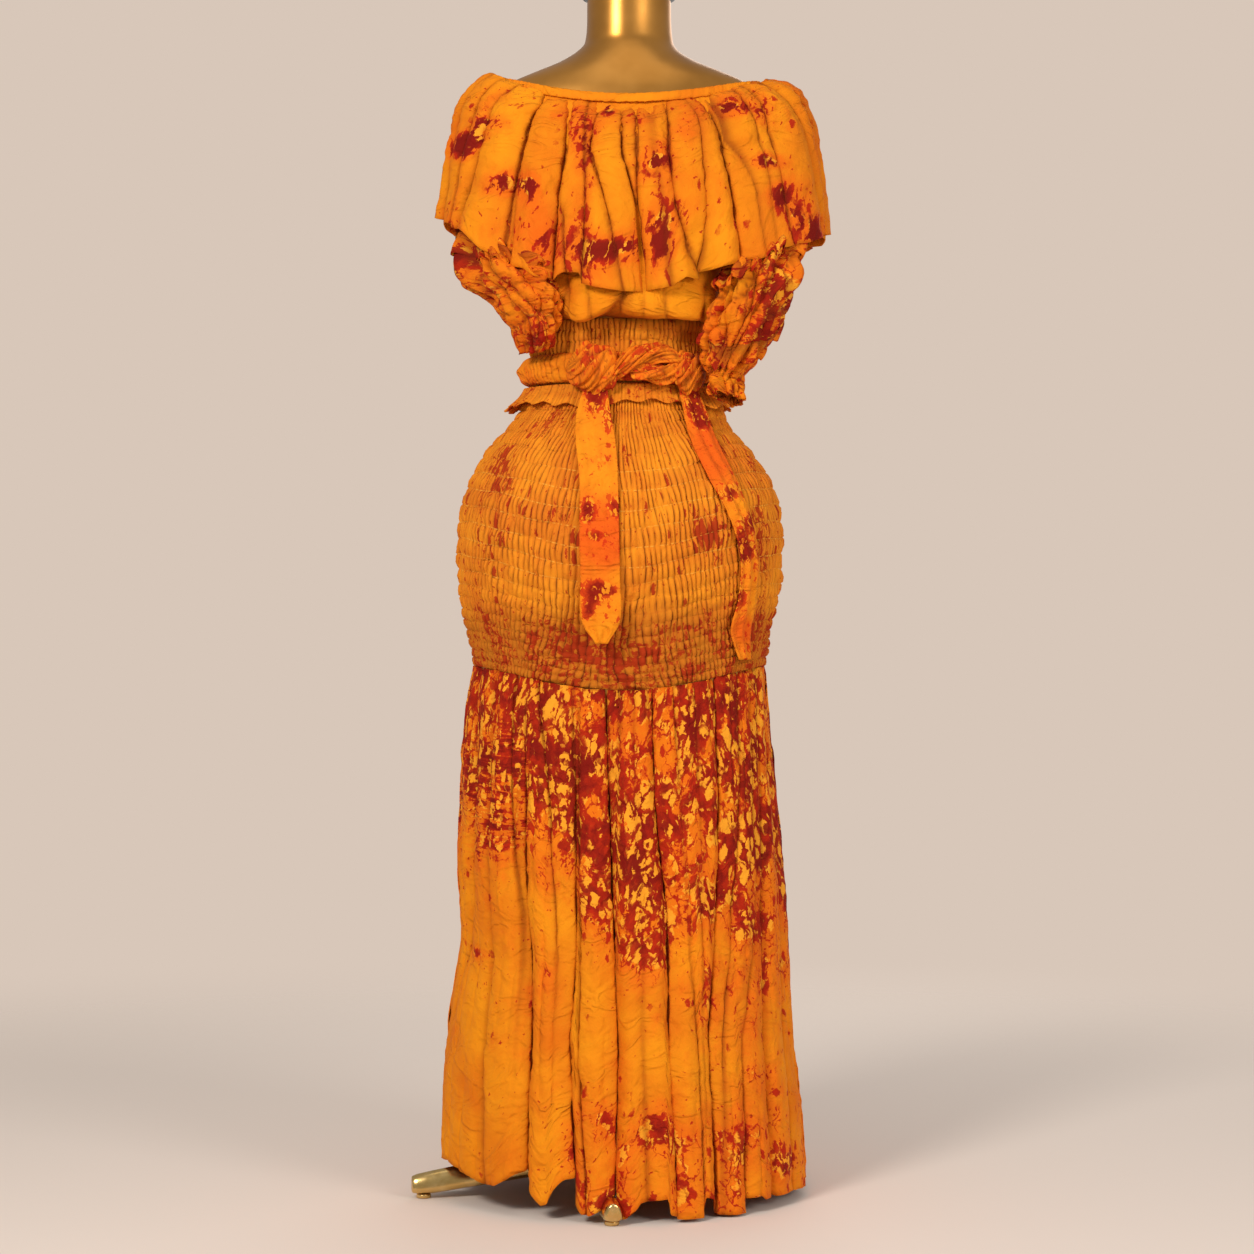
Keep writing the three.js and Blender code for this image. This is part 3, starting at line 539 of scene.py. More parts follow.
def smocked_cotton():
    """Browner at the foot, with fine dark lines along the tucks and pale dashes of thread on the rows, and
    painted shade, dark brown, in the creases between the tucks.
    """
    cotton = Finish("smocked_cotton")
    cloth = cotton.cloth()
    height = cotton.axis(cotton.place(), 2)
    low = (0.742 - height).above(0, 0.05)
    high = (height - 0.90).above(0, 0.08)
    drift = cotton.cloud(cloth, 3.5, detail=2)
    weight = -0.42 + 0.66 * low + 0.30 * high + (drift - 0.5) * 1.9
    haze, red, core, bare = dyed(cotton, cotton.scaled(cloth, 1.2, 1.0, 1), weight, 58)
    tone = cotton.drawn(cloth, 5, 26, detail=4, roughness=0.6)
    ground = cotton.mixed(tone.above(0.32, 0.68), (0.88, 0.300, 0.0120), (0.72, 0.196, 0.0095))
    fine = cotton.drawn(cloth, 700, 42, detail=3, roughness=0.6)
    # Painted shade: dark brown in the creases between the tucks
    deep = marked(cotton, "hollow")
    dashes = cotton.drawn(cloth, 260, 40, detail=1).above(0.42, 0.55)
    seen = (height - 0.742).above(0, 0.02) * (0.905 - height).above(0, 0.02)
    pale = marked(cotton, "stitch").above(0.72, 0.97) * dashes * seen
    colour = cotton.coated(
        ground, (low * 0.75, (0.46, 0.150, 0.0080)), (haze * 0.35, (0.66, 0.120, 0.0070)),
        (red * 0.88, (0.38, 0.0150, 0.0025)), (fine.above(0.56, 0.68) * 0.45, (0.36, 0.062, 0.0050)),
        (deep.math("POWER", deep, 1.3) * 0.92, (0.12, 0.0150, 0.0030)), (pale * 0.6, (0.90, 0.45, 0.060)))
    return cotton_done(cotton, cloth, colour, 0.0007)


SMOCKED = smocked_cotton()
# Distance of each row of stitches from the top edge, both edges included
HIP_ROWS = [0, 10, 19, 29, 41, 55, 71, 88, 107, 127, 147, 168, 189, 209, 228, 246, 262, 277, 291, 304, 316,
            328, 339, 350]
# The angle where the rows sag lowest
SAG_AT = 265
# One tuck: place across it, height of the ridge, and how far down its crease it lies
TUCK = [(0.0, 0.0, 1.0), (0.13, 0.66, 0.30), (0.37, 1.0, 0.0), (0.63, 0.96, 0.0), (0.87, 0.62, 0.30)]
# Where the dye lies thickest
HIP_STAINS = [
    (-150, 885, 28, 34, 0.7), (-78, 835, 22, 24, 0.6), (105, 812, 26, 30, 0.9), (95, 915, 24, 20, 0.8),
    (28, 668, 14, 16, 1.2), (-30, 690, 60, 24, 0.4), (-160, 790, 20, 40, 0.4), (40, 880, 16, 14, 0.5),
]


def hung(name, node, surface, flat, material, slot, rests_on,
         held="gathered", closed=True, wall=1.2, **marks):
    """A sheet of cloth over its surface, in place of its node, with the size it was cut to."""
    piece = spread(name, surface, flat, closed, wall, marks)
    fitted(piece, node, material)


def uneven_round(angle, pace, down):
    """Smooth random numbers round the form, which meet at the ends of the round."""
    return np.array([noise.noise(Vector((math.cos(t) * pace, math.sin(t) * pace, down))) for t in angle])


def shirred(name, node, top, drop, rows, count, tall, sag, flat):
    """Cloth drawn up on rows of elastic. The tucks stand square to the rows, which sag at the back, and
    wander a little; each is a flat ridge between two thin creases."""
    marks = np.array(rows, float)
    line = np.linspace(-0.6, 2 * np.pi + 0.6, 6001)
    across = np.degrees(line) - SAG_AT
    lean = -(across / 30) * np.exp(-((across / 42) ** 2)) * 0.24 / 180 * (1 if sag else 0)
    profile = np.array(TUCK)
    columns = np.append((np.arange(count)[:, None] + profile[:, 0]).ravel(), count)
    ridge = np.append(np.tile(profile[:, 1], count), 0)
    crease = np.append(np.tile(profile[:, 2], count), 1)
    lines, hollows, stitches = [], [], []
    steps = [low + (high - low) * part
             for low, high in zip(marks, marks[1:]) for part in (0, 0.14, 0.5, 0.86)]
    for down in [*steps, marks[-1]][::-1]:
        band = min(int(np.searchsorted(marks, down + 0.01, side="right")) - 1, len(marks) - 2)
        part = (down - marks[band]) / (marks[band + 1] - marks[band])
        puff = math.sqrt(max(0, math.sin(math.pi * part)))
        drift = (2.4 * np.sin(3 * line + down * 0.019) + 1.9 * np.sin(7 * line - down * 0.027 + 1)
                 + 1.0 * np.sin(17 * line + down * 0.055) + 0.55 * np.sin(41 * line - down * 0.10)
                 + 0.5 * np.sin(9 * line + 2.4 * band))
        moved = line + drift / count + lean * (down - marks[-1] / 2)
        angle = np.interp(2 * np.pi * columns / count, moved, line)
        uneven = uneven_round(angle, 9, down * 0.035)
        tight = uneven_round(angle, 31, down * 0.09)
        whole = down / marks[-1]
        height = (top - drop(angle) * whole
                  - sag * np.exp(-(((np.degrees(angle) - SAG_AT) / 40) ** 2)) * math.sin(math.pi * whole)
                  + 1.2 * np.sin(11 * angle + band * 1.7) * math.sin(math.pi * whole))
        raised = tall * (0.8 + 0.7 * uneven + 0.5 * tight) * (0.55 + 0.45 * puff) * ridge
        out = 1.0 + raised + 0.8 * puff + 1.6 * uneven
        lines.append(oval(outline_at(FORM, height), angle, np.maximum(out, 0.5), height))
        # How much painted shade each point gets, deepest in the creases between the tucks
        hollows.append(crease * np.clip(0.75 + 1.2 * tight + 0.5 * uneven, 0.2, 1))
        stitches.append(np.full_like(angle, 1.0 if part < 0.01 or part > 0.99 else 0.0))
    surface = np.array(lines)
    hung(name, node, surface, flat, SMOCKED, "smocked_cotton", ["form_shell"], wall=0.0,
         hollow=np.array(hollows), stitch=np.array(stitches), stain=stained(surface, HIP_STAINS))


HIP_TOP = 998
shirred("hip_smocking_cloth", "hip_smocking", HIP_TOP, lambda angle: HIP_TOP - hip_seam(angle), HIP_ROWS,
        166, 3.6, 26, (1.62, 0.37))

# The midriff: the same shirred cotton on close rows, between the blousing bodice and the belt
WAIST_ROWS = [0, 14, 27, 48, 62, 77.7]
shirred("waist_smocking_cloth", "waist_smocking", 1077, lambda angle: WAIST_ROWS[-1] + 0 * angle, WAIST_ROWS,
        118, 3.6, 0, (0.98, 0.083))


# The skirt: a full gathered panel sewn to the hip tube, in a back half and a front half with side seams.
# It falls in uneven round folds with sharp grooves between them, to an uncut, wandering hem.
SKIRT = [
    (645, 192, 178, 135, 120), (604, 199, 180, 146, 126), (520, 205, 188, 163, 142),
    (420, 209, 197, 179, 160), (310, 206, 205, 195, 177), (200, 222, 210, 210, 194),
    (100, 229, 221, 222, 208), (0, 228, 227, 231, 214),
]
# Grooves: angle at five heights from the seam to the hem, depth at the same heights, and the way the
# fold beside it leans over it
SKIRT_LEVELS = [630, 500, 360, 210, 40]
GROOVES_BACK = [
    (188, 187, 186, 184, 183, 5, 5, 4, 4, 6, 1), (200, 206, 205, 192, 190, 8, 12, 9, 2, 0, -1),
    (214, 215, 217, 219, 221, 4, 4, 3, 5, 7, 0), (224.4, 226, 230, 233, 234, 7, 9, 8, 2, 0, 1),
    (231, 232.5, 232.9, 237.5, 237.3, 3, 10, 12, 16, 18, 1), (236.5, 243.6, 246, 247, 247, 9, 9, 7, 1, 0, -1),
    (249.9, 252, 252, 251.2, 253.8, 7, 9, 12, 16, 18, 1),
    (253.4, 254, 255, 255.5, 258.5, 2, 8, 10, 10, 9, -1),
    (262, 263.4, 265, 267, 266.4, 15, 22, 24, 24, 24, 1), (267.5, 268, 268.5, 269, 269, 8, 3, 0, 0, 0, 1),
    (273, 274, 276, 276, 277, 4, 3, 2, 5, 7, 0), (282, 282, 286, 285.8, 287.1, 12, 15, 17, 13, 12, -1),
    (289.2, 290.7, 292, 294.8, 294.9, 8, 4, 2, 7, 8, 1), (299, 299, 298, 297.5, 298.5, 5, 4, 3, 3, 2, 0),
    (310.7, 309.5, 305.5, 300.9, 301, 12, 15, 15, 16, 17, -1),
    (322.4, 318.5, 311, 305.4, 303.5, 8, 10, 10, 8, 5, 1), (331.7, 327, 324, 313, 310.7, 8, 9, 6, 5, 10, 1),
    (338, 334, 328, 325, 323.5, 5, 6, 11, 14, 16, 1), (348, 346, 343, 340, 338, 7, 7, 6, 5, 6, -1),
    (356, 357, 357, 356, 355, 5, 6, 8, 9, 9, 1),
]
GROOVES_FRONT = [
    (5, 6, 7, 8, 8, 6, 8, 8, 9, 10, -1), (17, 19, 20, 21, 23, 8, 11, 12, 14, 14, 1),
    (29, 30, 33, 35, 34, 5, 6, 7, 4, 3, -1), (40, 41, 44, 47, 48, 9, 12, 14, 16, 18, 1),
    (52, 53, 53, 56, 58, 6, 7, 5, 3, 2, 0), (61, 63, 64, 63, 66, 7, 9, 12, 13, 14, -1),
    (72, 74, 77, 78, 77, 10, 12, 15, 18, 19, 1), (83, 83, 84, 86, 86, 6, 4, 3, 5, 7, 0),
    (91, 93, 94, 97, 99, 12, 15, 18, 20, 20, -1), (103, 104, 106, 107, 107, 7, 8, 5, 2, 0, 1),
    (114, 114, 113, 115, 118, 8, 12, 14, 16, 16, 1), (124, 126, 127, 129, 130, 5, 5, 7, 8, 8, -1),
    (135, 136, 139, 141, 140, 9, 12, 13, 16, 18, -1), (147, 148, 148, 151, 153, 6, 7, 6, 3, 2, 1),
    (158, 160, 163, 163, 162, 8, 9, 11, 13, 13, 1), (170, 171, 172, 175, 176, 5, 6, 7, 8, 8, -1),
]
# How wide the sharp part of a groove is, and the number of points that a row is worked out with
SHARP = 2.6
FINE = 4801
# Height of the hem by angle, which jumps where one fold's edge hides the next
HEM = [
    (0, 12), (12, 22), (20, 30), (34, 26), (47, 34), (49, 20), (60, 30), (76, 24), (78, 40), (96, 44),
    (100, 34), (118, 54), (128, 40), (140, 46), (154, 34), (165, 36), (176, 40), (183, 43), (190, 44),
    (198, 47), (206, 43), (215, 37), (221, 32), (227, 34), (232, 44), (236.9, 58), (237.7, 40), (240, 30),
    (244, 18), (246, 20), (248, 36), (251, 50), (253.4, 52), (254.2, 22), (256.3, 10), (260.4, 9),
    (263.2, 18), (265.8, 30), (266.8, 52), (267.6, 5), (269.8, 6), (273.3, 16), (275, 25), (278.5, 27),
    (283.2, 29), (283.9, 10), (288.6, 4), (293.5, 4), (295.1, 12), (296, 27), (300, 22), (301, 5), (304.3, 3),
    (309.3, 3), (310.8, 19), (317, 20), (318.5, 15), (322, 14), (324, 17), (326, 14), (333, 15), (345, 11),
    (353, 9), (360, 12),
]


def laid_folds(first, last, columns, rows, reaches, height_at, grooves, levels, by_height, ripple):
    """Rows of points round folded cloth, evenly spaced along the cloth itself, and how deep each lies in its
    fold, which is how much painted shade the material puts there. Each groove cuts in sharply and the fold
    on one side of it leans over it. Its places and depths are given at levels, which are heights or shares
    of the way down."""
    surface, hollows = [], []
    angle = np.linspace(first, last, FINE)
    order = np.argsort(levels)
    levels = np.array(levels, float)[order]
    for share in np.linspace(1, 0, rows + 1):
        height = height_at(angle, share)
        reach = reaches(height, share)
        size = 0.5 * (reach[0] + reach[2])
        inward = ripple(angle, share, height)
        aside = np.zeros_like(angle)
        hollow = np.zeros_like(angle)
        for groove in grooves:
            level = height if by_height else share
            middle = np.interp(level, levels, np.array(groove[:5], float)[order])
            depth = np.interp(level, levels, np.array(groove[5:10], float)[order])
            lean = groove[10]
            off = (np.degrees(angle) - middle) * size * np.pi / 180
            inward += depth * (0.54 * np.exp(-np.abs(off) / SHARP) + 0.58 * np.exp(-((off / 12) ** 2)))
            # Painted shade: a narrow dark line down each groove, stronger where the groove is deep
            shade = 0.74 * np.exp(-((off / 3.0) ** 2)) + 0.26 * np.exp(-((off / 8.0) ** 2))
            hollow = np.maximum(hollow, np.clip(depth / 11, 0, 1) * shade)
            lift = lean * 2.6 * SHARP * np.clip(depth / 12, 0, 1)
            aside += lift * np.exp(-(((off + lean * 2.3 * SHARP) / (1.95 * SHARP)) ** 2))
        points = oval(reach, angle, -inward, height)
        rim = np.gradient(oval(reach, angle, 0, height), axis=0)
        rim[:, 2] = 0
        rim /= np.linalg.norm(rim, axis=1)[:, None]
        points += rim * aside[:, None]
        steps = np.linalg.norm(np.diff(points[:, :2], axis=0), axis=1)
        length = np.concatenate([[0], np.cumsum(steps)])
        even = np.linspace(0, length[-1], columns + 1)
        surface.append(np.stack([np.interp(even, length, points[:, k]) for k in range(3)], axis=-1))
        hollows.append(np.interp(even, length, hollow))
    return np.array(surface), np.array(hollows)


def crumpled(surface, flat, coarse, fine, seed, slope=0.3):
    """The same points, pushed in and out by soft dents, by sharp creases that run across the cloth on a
    slope, and by short pinches that stand up here and there."""
    along = np.gradient(surface, axis=1)
    down = np.gradient(surface, axis=0)
    out = np.cross(along, down)
    out /= np.linalg.norm(out, axis=2)[:, :, None] + 1e-9
    rows, columns = surface.shape[:2]
    push = np.empty((rows, columns))
    for i in range(rows):
        v = flat[1] * i / (rows - 1)
        for j in range(columns):
            u = flat[0] * j / (columns - 1)
            wide = noise.noise(Vector((u * 9, v * 20, seed)))
            crease = 1 - 2.4 * abs(noise.noise(Vector((u * 13 + v * 7, (v - u * slope) * 52, seed + 7))))
            pinch = max(0, 1 - 7 * abs(noise.noise(Vector((u * 24, v * 15 + u * 9, seed + 3)))))
            here = max(0, noise.noise(Vector((u * 7, v * 9, seed + 5))))
            push[i, j] = coarse * wide + fine * (crease - 0.4) + 2.6 * fine * pinch * here
    return surface + out * push[:, :, None]


def skirt_height(angle, share):
    hem = np.interp(np.degrees(angle) % 360, *zip(*HEM))
    return hip_seam(angle) - 0.3 + (hem - hip_seam(angle)) * share


def seam_gathers(angle, share, height):
    """Small pleats that die out below the seam, and fine creases that come and go all the way down."""
    below = hip_seam(angle) - height
    wander = 1.8 * np.sin(6 * angle) + 0.9 * np.sin(height * 0.011 + 4 * angle)
    fine = np.abs(np.sin(31 * angle + wander)) ** 0.4
    fade = np.sin(5.3 * angle + height * 0.017) * np.sin(2.1 * angle - height * 0.007)
    fade = np.clip(0.5 + 0.9 * fade, 0, 1)
    return ((1.3 + 1.2 * np.sin(96 * angle + 2 * np.sin(5 * angle))) * np.exp(-below / 26)
            + 1.5 * np.exp(-below / 9) + 3.4 * (1 - fine) * fade)


YELLOW = (0.86, 0.285, 0.0045)
DEEP_YELLOW = (0.72, 0.160, 0.0030)
ORANGE = (0.78, 0.088, 0.0032)
PALE = (0.94, 0.390, 0.0220)
CRIMSON = (0.43, 0.0080, 0.0018)
DARK_CRIMSON = (0.17, 0.0032, 0.0012)
# The dark brown painted deep in the folds as shade
FOLD_SHADE = (0.16, 0.0150, 0.0012)


def dyed_cotton(name, weight_at, drops=41, lace=0.35, wrinkle=0.0010):
    """Plain-weave cotton dyed yellow, then red: weight_at gives how much red there is at a place. Cloth
    deep in a fold is painted a darker brown, as painted shade."""
    cotton = Finish(name)
    cloth = cotton.cloth()
    haze, red, core, bare = dyed(cotton, cloth, weight_at(cotton, cloth), drops, lace)
    deep = marked(cotton, "hollow")
    tone = cotton.cloud(cloth, 7, detail=4, roughness=0.6)
    ground = cotton.mixed(tone.above(0.3, 0.72), YELLOW, DEEP_YELLOW)
    # The last coat darkens the cloth deep in the folds: painted shade
    colour = cotton.coated(ground, (haze * 0.52, ORANGE), (bare * 0.80, PALE), (red * 0.92, CRIMSON),
                           (red * core * 0.85, DARK_CRIMSON), (deep * 0.74, FOLD_SHADE))
    return cotton_done(cotton, cloth, colour, wrinkle)


def skirt_weight(cotton, cloth):
    """Thick over the hips, further down on the right; nearly none at the lower left; some at the hem."""
    height = cotton.axis(cotton.place(), 2)
    side = cotton.axis(cotton.place(), 0)
    foot = 0.49 - side.above(-0.12, 0.03) * 0.17
    band = (height - foot).above(-0.14, 0.08)
    low = (0.20 - height).above(0.0, 0.15) * side.above(-0.12, 0.0)
    drift = cotton.cloud(cloth, 4.2, detail=3)
    hatched = (-0.095 - side).above(0, 0.03) * (height - 0.40).above(0, 0.04) * (0.60 - height).above(0, 0.06)
    streak = cotton.drawn(cloth, 20, 150, detail=3, distortion=1.1) - 0.5
    return -0.94 + band * 1.58 + low * 0.85 + (drift - 0.5) * 2.0 + hatched * streak * 3.2


# Where the skirt's dye lies thickest
SKIRT_STAINS = [
    (-120, 420, 70, 90, 0.75), (-178, 470, 25, 80, 0.6), (46, 118, 40, 32, 1.3), (-26, 132, 18, 44, 1.2),
    (-16, 26, 26, 24, 1.2), (192, 52, 18, 14, 1.2), (108, 236, 20, 60, 0.9), (160, 200, 26, 60, 0.8),
    (204, 290, 18, 26, 1.0), (-100, 278, 26, 40, 0.8), (-178, 304, 18, 7, 1.5), (70, 30, 26, 20, 0.9),
    (-60, 90, 16, 40, 0.7), (130, 90, 26, 40, 0.8),
]


def skirt_reach(height, share):
    return outline_at(SKIRT, height)


DYED = dyed_cotton("dyed_cotton", skirt_weight)
for name, first, last, columns, rows, grooves, flat in (
        ("skirt_back", 180, 360, 520, 90, GROOVES_BACK, (1.0, 0.645)),
        ("skirt_front", 0, 180, 360, 66, GROOVES_FRONT, (0.96, 0.645))):
    surface, hollow = laid_folds(math.radians(first), math.radians(last), columns, rows, skirt_reach,
                                 skirt_height, grooves, SKIRT_LEVELS, True, seam_gathers)
    surface = crumpled(surface, flat, 2.6, 1.2, 3.0, 0.45)
    hung(name, "skirt_panel", surface, flat, DYED, "dyed_cotton", ["hip_smocking_cloth"], closed=False,
         hollow=hollow, stain=stained(surface, SKIRT_STAINS))


# The bodice: a front and a back, plain under the ruffle, gathered on to the midriff so that it blouses
# over it. Only its lower edge shows.
# Rings from the neckline down: height at the sides, four reaches, height at the back and at the front,
# and the half width of the armhole in degrees
BODICE = [
    (1375, 172, 186, 101, 107, 1340, 1318, 30), (1310, 170, 178, 108, 120, 1300, 1280, 30),
    (1234, 160, 165, 116, 137, 1230, 1220, 1), (1165, 148, 151, 122, 138, 1160, 1160, 0),
    (1112, 130, 133, 132, 132, 1110, 1110, 0), (1090, 127, 129, 130, 128, 1086, 1088, 0),
    (1077.7, 121, 121, 92, 103, 1077.7, 1077.7, 0),
]


def bodice_half(middle, columns, rows):
    """The blousing part hangs in a few heavy lobes, with creases running up out of the gathers."""
    table = [(6 - k, *row) for k, row in enumerate(BODICE)]
    lines, hollows = [], []
    for share in np.linspace(0, 6, rows + 1):
        side, left, right, back, front, z_back, z_front, armhole = outline_at(table, share)
        spread_by = 90 - max(0, armhole) - 0.25
        angle = np.radians(middle + np.linspace(-spread_by, spread_by, columns + 1))
        s = np.sin(angle)
        height = side + (np.where(s > 0, z_front, z_back) - side) * s * s
        blouse = math.exp(-(((share - 1.3) / 1.1) ** 2))
        lobe = 3.9 * angle + 1.2 * np.sin(3 * angle) + 0.7 * np.sin(0.8 * share + 2 * angle)
        lobe = np.abs(np.sin(lobe)) ** 0.8
        wander = 23 * angle + 1.4 * np.sin(4 * angle) + 0.7 * share * np.sin(9 * angle)
        pleat = np.abs(np.sin(0.5 * wander)) ** 0.7
        out = -0.8 - 4.4 * max(0, share - 5) + blouse * (11 * lobe + 6 * pleat - 5)
        droop = math.exp(-(((share - 1.05) / 0.7) ** 2))
        height = height - (26 * (lobe - 0.35) + 3 * (pleat - 0.5)) * droop
        lines.append(oval((left, right, back, front), angle, out, height))
        # Painted shade: under the blousing along the seam, and in the valleys between the lobes and pleats
        near = math.exp(-((share / 0.55) ** 2))
        valley = 0.9 * np.clip(1 - 2.2 * pleat, 0, 1) + np.clip(0.8 - 1.6 * lobe, 0, 1)
        hollows.append(np.clip(np.maximum(near, blouse * valley), 0, 1))
    return np.array(lines), np.array(hollows)


BODICE_FLAT = (0.50, 0.31)


def bodice_weight(cotton, cloth):
    return (cotton.cloud(cloth, 6, detail=2) - 0.5) * 2 - 1.2


PLAIN = dyed_cotton("dyed_cotton_plain", bodice_weight)
for name, node, middle in (("bodice_back_panel", "bodice_back", 270),
                           ("bodice_front_panel", "bodice_front", 90)):
    surface, hollow = bodice_half(middle, 160, 46)
    surface = crumpled(surface, BODICE_FLAT, 1.6, 1.1, 11.0)
    hung(name, node, surface, BODICE_FLAT, PLAIN, "dyed_cotton", ["waist_smocking_cloth", "form_shell"],
         closed=False, hollow=hollow)


# The sleeves: empty tubes that hang from the armholes, lie against the back of the bodice and are drawn in
# and tucked at the belt. They are badly crushed, with gathered frills standing out round them. Each ring
# runs from an inner to an outer point (across, height, back or forward) and has its own half depth.
SLEEVE_LEFT = [
    (0, 170, 1246, 0, 170, 1358, 0, 46), (1, 172, 1234, -2, 190, 1322, -6, 42),
    (2, 164, 1210, -20, 191, 1266, -14, 36), (3, 148, 1184, -54, 190, 1208, -26, 34),
    (4, 120, 1156, -90, 188, 1174, -44, 32), (5, 98, 1132, -112, 182, 1126, -58, 28),
    (6, 84, 1104, -120, 158, 1100, -72, 22), (7, 82, 1076, -112, 138, 1074, -68, 17),
    (8, 90, 1042, -84, 128, 1040, -52, 12),
]
SLEEVE_RIGHT = [
    (0, 177, 1246, 0, 177, 1356, 0, 46), (1, 180, 1232, -4, 204, 1322, -6, 43),
    (2, 168, 1208, -22, 207, 1266, -12, 38), (3, 150, 1178, -54, 208, 1208, -26, 36),
    (4, 134, 1148, -90, 202, 1160, -42, 34), (5, 124, 1116, -110, 196, 1118, -56, 32),
    (6, 114, 1080, -112, 182, 1080, -64, 28), (7, 104, 1042, -102, 164, 1040, -66, 24),
    (8, 98, 1008, -94, 142, 1006, -62, 18), (9, 108, 982, -96, 142, 972, -68, 15),
]


def crushed(turn, share, seed):
    """Reach of a crushed tube round its middle, about 1, and how deep it lies in one of the sharp valleys
    between its bulges."""
    c, s = math.cos(turn), math.sin(turn)
    long = abs(noise.noise(Vector((c * 2.1 + share * 0.25, s * 2.1, share * 0.34 + seed))))
    cross = abs(noise.noise(Vector((c * 1.2, s * 1.2 + share * 0.8, share * 0.9 + seed + 5))))
    small = abs(noise.noise(Vector((c * 4.2, s * 4.2, share * 1.1 + seed + 9))))
    # The valley share is painted on the cloth as shade
    valley = max(0, 1 - 8 * min(long, cross * 1.3, small * 2.0))
    return 0.58 + 1.05 * long + 0.50 * cross + 0.30 * small, valley


def sleeve_ring(table, sign, share, turns):
    """Points round a sleeve, some share of the way down its table, and how deep each lies in a valley."""
    here, before, after = (np.array(outline_at(table, part)) for part in (
        share, max(share - 0.2, 0), min(share + 0.2, table[-1][0])))
    inner, outer = here[[0, 2, 1]], here[[3, 5, 4]]
    run = (after - before)[[0, 2, 1]] + (after - before)[[3, 5, 4]]
    across = np.cross(run, outer - inner)
    across *= here[6] / np.linalg.norm(across)
    if across[1] > 0:
        across = -across
    loose = min(1, share)
    ring, marks = [], []
    for turn in turns:
        reach, mark = crushed(turn, share, 3.0 + sign)
        reach = 1 + (reach - 1) * loose
        flat = 1 - 0.55 * loose * (math.sin(turn) < 0)
        aside = (outer - inner) / 2 * math.cos(turn) * reach
        spot = (inner + outer) / 2 + aside + across * math.sin(turn) * flat * reach
        ring.append((sign * spot[0], spot[1], spot[2]))
        marks.append(mark * loose)
    return np.array(ring), np.array(marks)


def sleeve_weight(cotton, cloth):
    side = cotton.axis(cotton.place(), 0)
    outer = abs(side).above(0.14, 0.19)
    return 0.18 + (cotton.cloud(cloth, 9, detail=3) - 0.5) * 2.6 + outer * 0.40


CRUSHED = dyed_cotton("dyed_cotton_crushed", sleeve_weight, 52, 0.4, 0.0014)
FRILL_FLAT = (0.36, 0.034)


def sleeve_frill(table, sign, number, share):
    """A gathered strip round a sleeve, on a slant, with its lower edge standing out."""
    turns = round_columns(170)[::sign]
    rows, hollows = [], []
    for part in np.linspace(1, 0, 9):
        frilled = np.sin(17 * turns + 2 * np.sin(3 * turns + number)) + 0.5 * np.sin(29 * turns + number)
        slant = share + 0.55 * part + 0.45 * np.sin(turns + 1.9 * number) + 0.12 * np.sin(3 * turns)
        both = [sleeve_ring(table, sign, place, [turn]) for place, turn in zip(slant, turns)]
        ring = np.array([points[0] for points, _ in both])
        valley = np.array([marks[0] for _, marks in both])
        middle = ring.mean(axis=0)
        out = (ring - middle) / np.linalg.norm(ring - middle, axis=1)[:, None]
        lift = 1.2 + part * (5 + 4 * np.sin(2 * turns + number)) + 3.6 * part**0.8 * frilled
        ring = ring + out * lift[:, None]
        ring[:, 2] += 3.5 * part * np.sin(23 * turns + 2 * number)
        rows.append(ring)
        # Painted shade: darkest along the sewn edge and in the sleeve's valleys, lighter on the frilled
        # crests
        hollows.append(np.clip(0.9 * (1 - part) + 0.5 * valley - 0.3 * frilled * part, 0, 1))
    return np.array(rows), np.array(hollows)


for side, table, sign, flat, frills in (
        ("left", SLEEVE_LEFT, -1, (0.27, 0.34), (2.3, 3.0, 3.8)),
        ("right", SLEEVE_RIGHT, 1, (0.29, 0.42), (2.6, 4.2, 6.4))):
    node = f"sleeve_{side}"
    turns = round_columns(116)[::sign]
    shares = np.linspace(table[-1][0], 0, 91)
    rings, marks = zip(*(sleeve_ring(table, sign, share, turns) for share in shares))
    surface = crumpled(np.array(rings), flat, 2.2, 1.0, 21.0 + sign, 1.4)
    # The sleeve's valleys get painted shade
    hung(f"{node}_tube", node, surface, flat, CRUSHED, "dyed_cotton", ["bodice_back_panel"],
         hollow=np.array(marks))
    for number, share in enumerate(frills, start=1):
        surface, hollow = sleeve_frill(table, sign, number, share)
        hung(f"{node}_frill_{number}", node, surface, FRILL_FLAT, CRUSHED, "dyed_cotton", [f"{node}_tube"],
             hollow=hollow)


